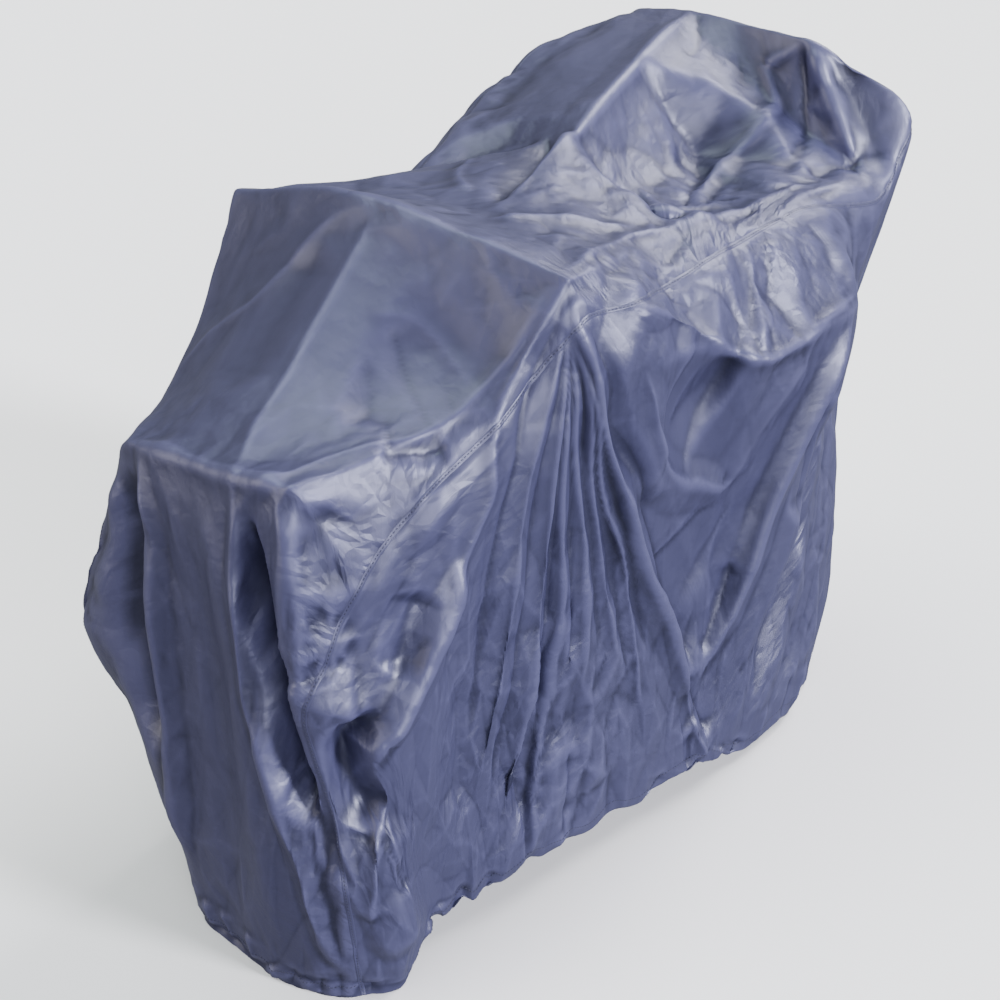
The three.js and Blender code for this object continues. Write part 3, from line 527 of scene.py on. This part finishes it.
def divided(steps):
    """Positions 0, 1, 2 ... with the given number of steps between each and the next."""
    inner = [k + np.arange(n) / n for k, n in enumerate(steps)]
    return np.concatenate(inner + [np.array([float(len(steps))])])


def steps_along(net):
    """The step from the row before each row to the row after it."""
    padded = np.concatenate([net[:1], net, net[-1:]])
    return padded[2:] - padded[:-2]


def normals_of(net):
    across = np.swapaxes(steps_along(np.swapaxes(net, 0, 1)), 0, 1)
    return unit(np.cross(across, steps_along(net)))


def softened(net, share, rounds):
    """The net with each inner point drawn towards its neighbours."""
    net = net.copy()
    for _ in range(rounds):
        around = (net[2:, 1:-1] + net[:-2, 1:-1] + net[1:-1, 2:] + net[1:-1, :-2]) / 4
        net[1:-1, 1:-1] += (around - net[1:-1, 1:-1]) * share
    return net


stations = divided([row[4] for row in SPINE_LINE[:-1]])
left_places = divided(STEPS_ACROSS)
places = np.concatenate([-left_places[:0:-1], left_places])
station_net, place_net = np.meshgrid(stations, places, indexing="ij")


def column_at(place):
    return int(np.flatnonzero(np.isclose(places, place))[0])


left_seam = column_at(SEAM)
right_seam = column_at(-SEAM)
left_hem = column_at(HEM)
right_hem = column_at(-HEM)


def net_at(net, at_station, at_place):
    """The net read between its points."""
    row = np.interp(at_station, stations, np.arange(len(stations)))
    column = np.interp(at_place, places, np.arange(len(places)))
    r = np.clip(row.astype(int), 0, len(stations) - 2)
    c = np.clip(column.astype(int), 0, len(places) - 2)
    s = (row - r)[:, None]
    t = (column - c)[:, None]
    near = net[r, c] * (1 - t) + net[r, c + 1] * t
    far = net[r + 1, c] * (1 - t) + net[r + 1, c + 1] * t
    return near * (1 - s) + far * s


def chain_through(net, spots):
    """A stroke's spots, each a station and a place, as a chain of points on the net."""
    at = np.linspace(0, len(spots) - 1, STROKE_STEPS * (len(spots) - 1) + 1)
    spots = np.array(spots, float)
    return net_at(net, smooth_at(spots[:, 0], at), smooth_at(spots[:, 1], at))


def along_chain(points, chain):
    """Each point's distance to a chain, and how far along the chain its nearest spot is, from 0 to 1."""
    best = np.full(len(points), np.inf)
    where = np.zeros(len(points))
    runs = lengths(np.diff(chain, axis=0))
    reached = reached_along(chain)
    for start, end, run, before in zip(chain[:-1], chain[1:], runs, reached[:-1]):
        way = end - start
        t = np.clip((points - start) @ way / max(run * run, TINY), 0, 1)
        distance = lengths(points - start - t[:, None] * way)
        closer = distance < best
        best = np.where(closer, distance, best)
        where = np.where(closer, before + t * run, where)
    return best, where / max(reached[-1], TINY)


def press(heights, points, chain, width, height, profile, fade):
    """Adds one fold or crease to the heights of the points near it."""
    reach = width * NEAR
    low = chain.min(axis=0) - reach
    high = chain.max(axis=0) + reach
    near = np.flatnonzero(np.all((points > low) & (points < high), axis=1))
    if not len(near):
        return
    distance, where = along_chain(points[near], chain)
    fullness = smoothstep(where, TIP_START, fade) * smoothstep(1 - where, TIP_START, fade)
    narrowed = width * (TIP_WIDTH + MIDDLE_WIDTH * fullness)
    heights[near] += height * profile(distance, narrowed) * fullness


def sharp(distance, width):
    """A crisp line that runs out on both sides."""
    return np.exp(-(np.sqrt(distance ** 2 + CREASE_BEND ** 2) - CREASE_BEND) / width)


def pleated(distance, width):
    """Two straight flanks that meet in a narrow bend."""
    bend = PLEAT_BEND * width
    flank = 1 - (np.sqrt(distance ** 2 + bend ** 2) - bend) / (PLEAT_FLANK * width)
    return (flank + np.sqrt(flank ** 2 + PLEAT_FOOT)) / 2


def rounded(distance, width):
    return np.exp(-(distance / width) ** 2)


def scattered(points, spacing, rng, tries):
    """Some of the points, none nearer to another than the spacing."""
    cells = {}
    chosen = []
    for index in rng.permutation(len(points))[:tries]:
        point = points[index]
        a, b, c = (int(value // spacing) for value in point)
        around = [near for i in (a - 1, a, a + 1) for j in (b - 1, b, b + 1) for k in (c - 1, c, c + 1)
                  for near in cells.get((i, j, k), ())]
        if all(lengths(points[near] - point) >= spacing for near in around):
            cells.setdefault((a, b, c), []).append(index)
            chosen.append(index)
    return np.array(chosen)


def facet_heights(net, strength, spacing, seed):
    """Heights that are flat between scattered corners, each as high as the strength there allows."""
    rows, columns = net.shape[:2]
    rng = np.random.default_rng(seed)
    net = net * np.array([1.0, 1.0, FACET_UPRIGHT])
    chosen = scattered(net.reshape(-1, 3), spacing, rng, FACET_TRIES)
    border = [0, columns - 1, (rows - 1) * columns, rows * columns - 1]
    chosen = np.unique(np.concatenate([chosen, border]))
    down_at = np.concatenate([[0.0], np.cumsum(lengths(np.diff(net, axis=0)).mean(axis=1))])
    right_at = np.concatenate([[0.0], np.cumsum(lengths(np.diff(net, axis=1)).mean(axis=0))])
    corners = [Vector((down_at[index // columns], right_at[index % columns])) for index in chosen]
    corner_heights = rng.uniform(-1, 1, len(chosen)) * strength.reshape(-1)[chosen]
    spots, _, triangles, sources = delaunay_2d_cdt(corners, [], [], 0, CORNER_MERGE)[:4]
    at_spot = np.array([corner_heights[source[0]] for source in sources])
    heights = np.zeros((rows, columns))
    for triangle in triangles:
        corner = np.array([spots[k] for k in triangle])
        low = corner.min(axis=0) - FACET_MARGIN
        high = corner.max(axis=0) + FACET_MARGIN
        r, c = np.mgrid[np.searchsorted(down_at, low[0]):np.searchsorted(down_at, high[0]),
                        np.searchsorted(right_at, low[1]):np.searchsorted(right_at, high[1])]
        sides = corner[1:] - corner[0]
        area = sides[0, 0] * sides[1, 1] - sides[0, 1] * sides[1, 0]
        if abs(area) < TINY:
            continue
        down = down_at[r] - corner[0, 0]
        right = right_at[c] - corner[0, 1]
        first = (down * sides[1, 1] - right * sides[1, 0]) / area
        second = (right * sides[0, 0] - down * sides[0, 1]) / area
        inside = (first > -FACET_EDGE) & (second > -FACET_EDGE) & (first + second < 1 + FACET_EDGE)
        high_0, high_1, high_2 = at_spot[list(triangle)]
        level = high_0 * (1 - first - second) + high_1 * first + high_2 * second
        heights[r[inside], c[inside]] = level[inside]
    return heights


# The smooth drape with its main folds
smooth_net = softened(drape_net(stations, places), *DRAPE_EASE)
points = smooth_net.reshape(-1, 3)
heights = np.zeros(len(points))
for profile, strokes in ((pleated, FOLDS), (rounded, HOLLOWS)):
    for _, width, height, spots in strokes:
        press(heights, points, chain_through(smooth_net, spots), width, height, profile, FOLD_FADE)
net = smooth_net + normals_of(smooth_net) * heights.reshape(station_net.shape)[..., None]

# The sharp creases
points = net.reshape(-1, 3)
heights = np.zeros(len(points))
for _, width, height, spots in CREASES:
    press(heights, points, chain_through(net, spots), width, height, sharp, CREASE_FADE)


def hem_gathers(rng):
    """Short creases that run up from the hem, where the elastic draws it in: height and spots."""
    gathers = []
    for side in (-1, 1):
        station = GATHER_MARGIN_SIDE
        while station < LAST_STATION - GATHER_MARGIN_SIDE:
            lean = rng.uniform(*GATHER_LEAN_SIDE)
            top = HEM - rng.uniform(*GATHER_REACH_SIDE)
            height = rng.uniform(*GATHER_HEIGHT) * rng.choice((-1, 1))
            foot = (station, side * (HEM + GATHER_BELOW_SIDE))
            gathers.append((height, (foot, (station, side * HEM), (station + lean, side * top))))
            station += rng.uniform(*GATHER_GAP_SIDE)
    for end, inward in ((0, 1), (LAST_STATION, -1)):
        place = GATHER_FIRST_END
        while place < GATHER_LAST_END:
            lean = rng.uniform(*GATHER_LEAN_END)
            top = end + inward * rng.uniform(*GATHER_REACH_END)
            height = rng.uniform(*GATHER_HEIGHT) * rng.choice((-1, 1))
            middle = (end + inward * GATHER_INSIDE_END, place)
            gathers.append((height, ((end, place), middle, (top, place + lean))))
            place += rng.uniform(*GATHER_GAP_END)
    return gathers


rng = np.random.default_rng(HEM_SEED)
for height, spots in hem_gathers(rng):
    press(heights, points, chain_through(net, spots), GATHER_WIDTH, height, sharp, GATHER_FADE)

# The grooves of the two seams, puckered by their stitches
across = reached_across(net)
seam_rng = np.random.default_rng(SEAM_SEED)
for column in (left_seam, right_seam):
    knots = seam_rng.uniform(SEAM_PUCKER_LEAST, 1, len(net) // SEAM_PUCKER_ROWS + 2)
    depth = SEAM_GROOVE_DEPTH * smooth_at(knots, np.arange(len(net)) / SEAM_PUCKER_ROWS)
    groove = np.exp(-np.abs(across - across[:, column:column + 1]) / SEAM_GROOVE_WIDTH)
    heights -= (depth[:, None] * groove).reshape(-1)

# The puckered knob at the front corner
centre = net_at(net, np.array([PUCKER_AT[0]]), np.array([PUCKER_AT[1]]))[0]
away = points - centre
distance = lengths(away)
angle = np.arctan2(away[:, 2], away[:, 0] + away[:, 1])
dome = PUCKER_HEIGHT * np.exp(-(distance / PUCKER_RADIUS) ** 2)
ring = np.exp(-((distance - PUCKER_RING * PUCKER_RADIUS) / (PUCKER_RING_WIDTH * PUCKER_RADIUS)) ** 2)
heights += dome + ring * PUCKER_CREASE * np.abs(np.sin(PUCKER_CREASES * angle / 2))
net = net + normals_of(net) * heights.reshape(station_net.shape)[..., None]

# The hem rises and falls
for side in (-1, 1):
    knots = rng.uniform(-1, 1, HEM_WAVE_KNOTS * LAST_STATION + 1)
    wave = HEM_WAVE * smooth_at(knots, HEM_WAVE_KNOTS * stations)
    net[..., 2] += wave[:, None] * smoothstep(side * place_net, HEM - HEM_WAVE_REACH, HEM)

# The crumpled cloth, from large facets to small ones
crumple = np.full(station_net.shape, BASE_CRUMPLE)
for _, station, place, reach_station, reach_place, strength in CRUMPLES:
    away = ((station_net - station) / reach_station) ** 2 + ((place_net - place) / reach_place) ** 2
    crumple += (strength - crumple) * np.exp(-away)
crumple *= 1 - HEM_CALM * smoothstep(np.abs(place_net), HEM - HEM_CALM_REACH, HEM)
for spacing, height, seed in FACETS:
    net = net + normals_of(net) * (height * facet_heights(net, crumple, spacing, seed))[..., None]


def eased(net, rounds):
    """The net drawn smooth where the cloth would fold through itself."""
    for _ in range(rounds):
        calm = softened(net, *CALM_EASE)
        facing = np.sum(normals_of(net) * normals_of(calm), axis=-1)
        share = softened((1 - smoothstep(facing, *FOLD_FACING))[..., None], *SHARE_EASE)
        net = net + (calm - net) * share
    return net


net = eased(softened(net, *CLOTH_EASE), FOLD_ROUNDS)

# Painted light on the folds, from 1 on a crest, painted as a highlight, to -1 in a groove, painted as shade
around = softened(net, *CREASE_LIGHT_EASE)
crease_light_and_shade = np.clip(np.sum((net - around) * normals_of(around), axis=-1) / CREASE_LIGHT_FULL, -1, 1)


def across_line(net, normals, column, offset):
    """The line on the cloth at a distance across from a column of the net, with its outward normals."""
    reached = reached_across(net)
    reached -= reached[:, column:column + 1]

    def read(rows):
        return np.array([[np.interp(offset, at, row[:, k]) for k in range(3)]
                         for at, row in zip(reached, rows)])

    return read(net), unit(read(normals))


def lap_points(net, normals, column):
    """The doubled cloth of a lapped seam, as rows of points across it."""
    bars = []
    for offset, lift in LAP_PROFILE:
        line, facing = across_line(net, normals, column, offset)
        bars.append(line + facing * lift)
    return np.stack(bars, axis=1)


def stitch_rows(line, facing):
    """Each stitch along a line as rings of points."""
    reached = reached_along(line)
    starts = np.arange(STITCH_PITCH, reached[-1] - STITCH_PITCH, STITCH_PITCH)
    turn = np.arange(STITCH_SIDES) * 2 * np.pi / STITCH_SIDES
    level = np.cos(turn)[None, :, None]
    raised = np.sin(turn)[None, :, None]

    def read(values, at):
        return np.stack([np.interp(at, reached, values[:, k]) for k in range(3)], axis=1)

    rings = []
    for share, radius, lift in STITCH_RINGS:
        at = starts + share * STITCH_LENGTH
        point = read(line, at)
        normal = unit(read(facing, at))
        side = unit(np.cross(normal, read(line, at + STITCH_AHEAD) - point))
        ring = level * side[:, None] + raised * normal[:, None]
        rings.append((point + normal * lift)[:, None] + radius * ring)
    return np.stack(rings, axis=1)


def turned_rows(border, up_first):
    """Rows that turn an end of the cloth under and up inside, as its hem."""
    inward = -outwards(border)
    rows = []
    for turn in HEM_TURNS:
        angle = math.radians(turn)
        drop = np.array([0, 0, 1]) * HEM_ROLL * math.sin(angle)
        rows.append(border + inward * HEM_ROLL * (1 - math.cos(angle)) - drop)
    for rise in HEM_RISES:
        rows.append(border + inward * 2 * HEM_ROLL + np.array([0, 0, rise]))
    rows = np.array(rows)
    return rows[::-1] if up_first else rows


def grid_mesh(name, points):
    """A net of points as a mesh of quads with smooth shading and thread coordinates in metres."""
    rows, columns = points.shape[:2]
    index = np.arange(rows * columns).reshape(rows, columns)
    quads = np.stack([index[:-1, :-1], index[:-1, 1:], index[1:, 1:], index[1:, :-1]], axis=-1)
    quads = quads.reshape(-1, 4)
    mesh = bpy.data.meshes.new(name)
    mesh.from_pydata(points.reshape(-1, 3).tolist(), [], quads.tolist())
    mesh.polygons.foreach_set("use_smooth", np.ones(len(quads), bool))
    across = reached_across(points)
    along = reached_along(points[:, columns // 2])
    thread = np.stack([across, np.broadcast_to(along[:, None], across.shape)], axis=-1).reshape(-1, 2)
    layer = mesh.uv_layers.new(name="threads")
    layer.data.foreach_set("uv", thread[quads.reshape(-1)].reshape(-1))
    mesh.update()
    return mesh


def set_shares(mesh, name, amount):
    """Keeps an amount for each point of the mesh, for its material to read."""
    shares = mesh.attributes.new(name, "FLOAT", "POINT")
    shares.data.foreach_set("value", np.asarray(amount, np.float32).reshape(-1))


def placed(name, mesh, material):
    """A piece that rides on the cover, with the material it is given."""
    mesh.materials.append(material)
    piece = bpy.data.objects.new(name, mesh)
    bpy.context.collection.objects.link(piece)
    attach(piece, "root")
    return piece


def stitch_mesh(name, rings):
    """Stitches, each some rings of points, as one mesh."""
    count, ring_count, sides = rings.shape[:3]
    index = np.arange(count * ring_count * sides).reshape(count, ring_count, sides)
    after = np.roll(index, -1, axis=2)
    walls = np.stack([index[:, :-1], after[:, :-1], after[:, 1:], index[:, 1:]], axis=-1).reshape(-1, 4)
    ends = np.concatenate([index[:, 0, ::-1], index[:, -1]])
    mesh = bpy.data.meshes.new(name)
    mesh.from_pydata(rings.reshape(-1, 3).tolist(), [], walls.tolist() + ends.tolist())
    mesh.polygons.foreach_set("use_smooth", np.ones(len(mesh.polygons), bool))
    mesh.update()
    return mesh


# Finish of the cloth: its colours, level and tint of its shine, least and most roughness and shade, scale
# and detail of their patches, and the shade added by the painted highlight on crests and painted shade in
# grooves
CLOTH_DARK = (0.014, 0.0145, 0.036, 1.0)
CLOTH_LIGHT = (0.054, 0.055, 0.116, 1.0)
COAT_LEVEL = 0.75
COAT_TINT = (0.78, 0.80, 1.0, 1.0)
GLOSS = (0.36, 0.46)
GLOSS_PATCHES = (14.0, 4.0)
SHADE = (0.32, 0.68)
SHADE_PATCHES = (5.0, 3.0)
CREASE_LIGHT_AMOUNT = 0.5
# Relief of the cloth: scale, unevenness and depth of the weave, cells to the metre and depth of the
# crinkle facets, their least strength, and the share of all this that shows
WEAVE_SCALE = 320.0
WEAVE_UNEVEN = 0.4
WEAVE_DEPTH = 0.00004
CRINKLES = ((30.0, 0.0075), (75.0, 0.0032))
CRINKLE_LEAST = 0.05
RELIEF_SHARE = 0.8

# Finish of the sewing thread: its colours, roughness, and the scale and depth of its twist
THREAD_DARK = (0.010, 0.011, 0.026, 1.0)
THREAD_LIGHT = (0.030, 0.032, 0.070, 1.0)
THREAD_ROUGHNESS = 0.6
TWIST_SCALE = 900.0
TWIST_DEPTH = 0.0002


def add_node(tree, kind, **values):
    """A new node, with each value on the socket or setting of that name."""
    node = tree.nodes.new(kind)
    for key, value in values.items():
        if isinstance(value, bpy.types.NodeSocket):
            tree.links.new(value, node.inputs[key])
        elif key in node.inputs:
            node.inputs[key].default_value = value
        else:
            setattr(node, key, value)
    return node


def nylon():
    """Plain-weave nylon with a satin coat: weave, crinkles, a painted highlight on crests and painted shade
    in grooves, and patches of shade and gloss.
    """
    material = bpy.data.materials.new("coated_nylon")
    material.use_nodes = True
    links = material.node_tree.links
    shader = material.node_tree.nodes["Principled BSDF"]
    shader.inputs["Specular IOR Level"].default_value = COAT_LEVEL
    shader.inputs["Specular Tint"].default_value = COAT_TINT

    def add(kind, **values):
        return add_node(material.node_tree, kind, **values)

    def joined(kind, first, second):
        node = add("ShaderNodeMath", operation=kind)
        links.new(first, node.inputs[0])
        if isinstance(second, bpy.types.NodeSocket):
            links.new(second, node.inputs[1])
        else:
            node.inputs[1].default_value = second
        return node.outputs["Value"]

    def ranged(source, low, high):
        node = add("ShaderNodeMapRange", Value=source)
        node.inputs["To Min"].default_value = low
        node.inputs["To Max"].default_value = high
        return node.outputs["Result"]

    def patches(scale, detail):
        return add("ShaderNodeTexNoise", Vector=where, Scale=scale, Detail=detail).outputs["Fac"]

    where = add("ShaderNodeTexCoord").outputs["Object"]
    threads = add("ShaderNodeUVMap", uv_map="threads").outputs["UV"]
    crumpled = add("ShaderNodeAttribute", attribute_name="crumple").outputs["Fac"]
    crease_light_fac = add("ShaderNodeAttribute", attribute_name="crease_light_and_shade").outputs["Fac"]

    broad = ranged(patches(*SHADE_PATCHES), *SHADE)
    # The tone is made lighter on crests and darker in grooves: a painted highlight and painted shade
    shade = joined("ADD", broad, joined("MULTIPLY", crease_light_fac, CREASE_LIGHT_AMOUNT))
    tone = add("ShaderNodeValToRGB", Fac=shade)
    tone.color_ramp.elements[0].color = CLOTH_DARK
    tone.color_ramp.elements[1].color = CLOTH_LIGHT
    links.new(tone.outputs["Color"], shader.inputs["Base Color"])
    links.new(ranged(patches(*GLOSS_PATCHES), *GLOSS), shader.inputs["Roughness"])

    weave = []
    for direction in ("X", "Y"):
        wave = add("ShaderNodeTexWave", Vector=threads, Scale=WEAVE_SCALE, Distortion=WEAVE_UNEVEN)
        wave.wave_type = "BANDS"
        wave.bands_direction = direction
        weave.append(wave.outputs["Fac"])
    relief = joined("MULTIPLY", joined("ADD", weave[0], weave[1]), WEAVE_DEPTH)
    strength = joined("ADD", crumpled, CRINKLE_LEAST)
    for scale, depth in CRINKLES:
        flat = {"Vector": threads, "Scale": scale, "voronoi_dimensions": "2D"}
        edges = add("ShaderNodeTexVoronoi", feature="DISTANCE_TO_EDGE", **flat)
        cells = add("ShaderNodeTexVoronoi", **flat)
        tilt = ranged(cells.outputs["Color"], -depth, depth)
        facets = joined("MULTIPLY", edges.outputs["Distance"], tilt)
        relief = joined("ADD", relief, joined("MULTIPLY", facets, strength))
    bump = add("ShaderNodeBump", Height=relief, Strength=RELIEF_SHARE, Distance=1.0)
    links.new(bump.outputs["Normal"], shader.inputs["Normal"])
    return material


def thread_material():
    """Sewing thread, twisted, a little darker than the cloth."""
    material = bpy.data.materials.new("sewing_thread")
    material.use_nodes = True
    tree = material.node_tree
    shader = tree.nodes["Principled BSDF"]
    shader.inputs["Roughness"].default_value = THREAD_ROUGHNESS
    where = add_node(tree, "ShaderNodeTexCoord").outputs["Object"]
    twist = add_node(tree, "ShaderNodeTexNoise", Vector=where, Scale=TWIST_SCALE).outputs["Fac"]
    tone = add_node(tree, "ShaderNodeValToRGB", Fac=twist)
    tone.color_ramp.elements[0].color = THREAD_DARK
    tone.color_ramp.elements[1].color = THREAD_LIGHT
    tree.links.new(tone.outputs["Color"], shader.inputs["Base Color"])
    bump = add_node(tree, "ShaderNodeBump", Height=twist, Distance=TWIST_DEPTH)
    tree.links.new(bump.outputs["Normal"], shader.inputs["Normal"])
    return material


# The sewn lines, on the finished cloth
net_normals = normals_of(net)
cloth_material = nylon()
sewing_thread = thread_material()


def in_frame(points):
    return (points + np.array(SHIFT)) * MILLIMETRE


laps = []
seam_stitches = []
for side, column in (("left", left_seam), ("right", right_seam)):
    mesh = grid_mesh(side + "_seam_lap", in_frame(lap_points(net, net_normals, column)))
    set_shares(mesh, "crumple", np.full(len(mesh.vertices), LAP_CRUMPLE))
    laps.append(placed(side + "_seam_lap", mesh, cloth_material))
    line, facing = across_line(net, net_normals, column, SEAM_STITCH_OFFSET)
    rings = stitch_rows(line + facing * SEAM_STITCH_LIFT, facing)
    mesh = stitch_mesh(side + "_seam_stitches", in_frame(rings))
    seam_stitches.append(placed(side + "_seam_stitches", mesh, sewing_thread))

hem_stitches = {}
for side, column, offset in (("left", left_hem, -HEM_STITCH_OFFSET),
                             ("right", right_hem, HEM_STITCH_OFFSET)):
    line, facing = across_line(net, net_normals, column, offset)
    mesh = stitch_mesh(side + "_hem_stitches", in_frame(stitch_rows(line, facing)))
    hem_stitches[side] = placed(side + "_hem_stitches", mesh, sewing_thread)
rings = []
for end_row, offset in ((0, HEM_STITCH_OFFSET), (len(net) - 1, -HEM_STITCH_OFFSET)):
    turned = np.swapaxes(net, 0, 1)[right_seam:left_seam + 1]
    turned_normals = np.swapaxes(net_normals, 0, 1)[right_seam:left_seam + 1]
    line, facing = across_line(turned, turned_normals, end_row, offset)
    rings.append(stitch_rows(line, facing))
mesh = stitch_mesh("end_hem_stitches", in_frame(np.concatenate(rings)))
hem_stitches["end"] = placed("end_hem_stitches", mesh, sewing_thread)

# The three panels, with their turned hems
cloth = np.concatenate([turned_rows(net[0], True), net, turned_rows(net[-1], False)])
extra = len(HEM_TURNS) + len(HEM_RISES)
shares = {name: np.pad(share, ((extra, extra), (0, 0)), mode="edge") for name, share in
          (("crumple", crumple), ("crease_light_and_shade", crease_light_and_shade))}
cloth = in_frame(cloth)
cloth[..., 2] = np.maximum(cloth[..., 2], FLOOR_CLEARANCE)
PANELS = (
    ("centre_cloth", "centre_panel", right_seam, left_seam,
     laps + seam_stitches + [hem_stitches["end"]]),
    ("left_cloth", "left_side_panel", left_seam, len(places) - 1, [hem_stitches["left"]]),
    ("right_cloth", "right_side_panel", 0, right_seam, [hem_stitches["right"]]),
)
for name, node, first, last, sewn in PANELS:
    points = cloth[:, first:last + 1]
    mesh = grid_mesh(name, points)
    for share_name, share in shares.items():
        set_shares(mesh, share_name, share[:, first:last + 1])
    piece = placed(name, mesh, cloth_material)
    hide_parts(node)
    width = float(lengths(np.diff(points, axis=1)).sum(axis=1).max())

# Floor and surrounding light: half width, colours, roughness and strength
FLOOR_REACH = 30
FLOOR_COLOUR = (0.9, 0.9, 0.9, 1)
FLOOR_ROUGHNESS = 0.9
ROOM_COLOUR = (0.92, 0.95, 1.0, 1)
ROOM_STRENGTH = 0.3
floor_mesh = bpy.data.meshes.new("floor")
floor_corners = [(FLOOR_REACH * x, FLOOR_REACH * y, 0) for x, y in ((-1, -1), (1, -1), (1, 1), (-1, 1))]
floor_mesh.from_pydata(floor_corners, [], [(0, 1, 2, 3)])
floor = bpy.data.objects.new("floor", floor_mesh)
bpy.context.collection.objects.link(floor)
floor_material = bpy.data.materials.new("pale_floor")
floor_material.use_nodes = True
floor_shader = floor_material.node_tree.nodes["Principled BSDF"]
floor_shader.inputs["Base Color"].default_value = FLOOR_COLOUR
floor_shader.inputs["Roughness"].default_value = FLOOR_ROUGHNESS
floor_mesh.materials.append(floor_material)
# The floor takes the cloth's shadow, but does not light the cloth from below
floor.visible_diffuse = False
floor.visible_glossy = False

world = bpy.data.worlds.new("studio")
world.use_nodes = True
world.node_tree.nodes["Background"].inputs["Color"].default_value = ROOM_COLOUR
world.node_tree.nodes["Background"].inputs["Strength"].default_value = ROOM_STRENGTH
bpy.context.scene.world = world

# Lights: name, direction each comes from, how wide it is in degrees, strength and tint
LIGHTS = (
    ("rear", (0.1, 0.65, 0.72), 36, 4.5, (0.97, 0.96, 1.0)),
    ("top", (-0.3, -0.1, 1.0), 40, 1.8, (0.88, 1.0, 0.97)),
    ("side", (1.0, 0.25, 0.35), 12, 7.2, (0.92, 0.92, 1.0)),
    ("side_fill", (1.0, -0.6, 0.25), 30, 2.8, (0.92, 0.92, 1.0)),
    ("front_fill", (-0.6, -1.0, 0.3), 50, 2.2, (1.0, 0.93, 0.86)),
)
for name, source, wide, strength, tint in LIGHTS:
    data = bpy.data.lights.new(name, "SUN")
    data.angle = math.radians(wide)
    data.energy = strength
    data.color = tint
    lamp = bpy.data.objects.new(name, data)
    lamp.location = source
    lamp.rotation_euler = (-Vector(source)).to_track_quat("-Z", "Y").to_euler()
    bpy.context.collection.objects.link(lamp)

# The camera, turned to look along the photograph's direction
azimuth = math.radians(CAMERA_AZIMUTH)
elevation = math.radians(CAMERA_ELEVATION)
level = math.cos(elevation)
back = Vector((math.sin(azimuth) * level, -math.cos(azimuth) * level, math.sin(elevation)))
camera_data = bpy.data.cameras.new("camera")
camera_data.lens = CAMERA_LENS
camera_data.sensor_width = CAMERA_SENSOR
camera = bpy.data.objects.new("camera", camera_data)
camera.location = CAMERA_AT
camera.rotation_mode = "QUATERNION"
camera.rotation_quaternion = (-back).to_track_quat("-Z", "Y")
bpy.context.collection.objects.link(camera)
bpy.context.scene.camera = camera
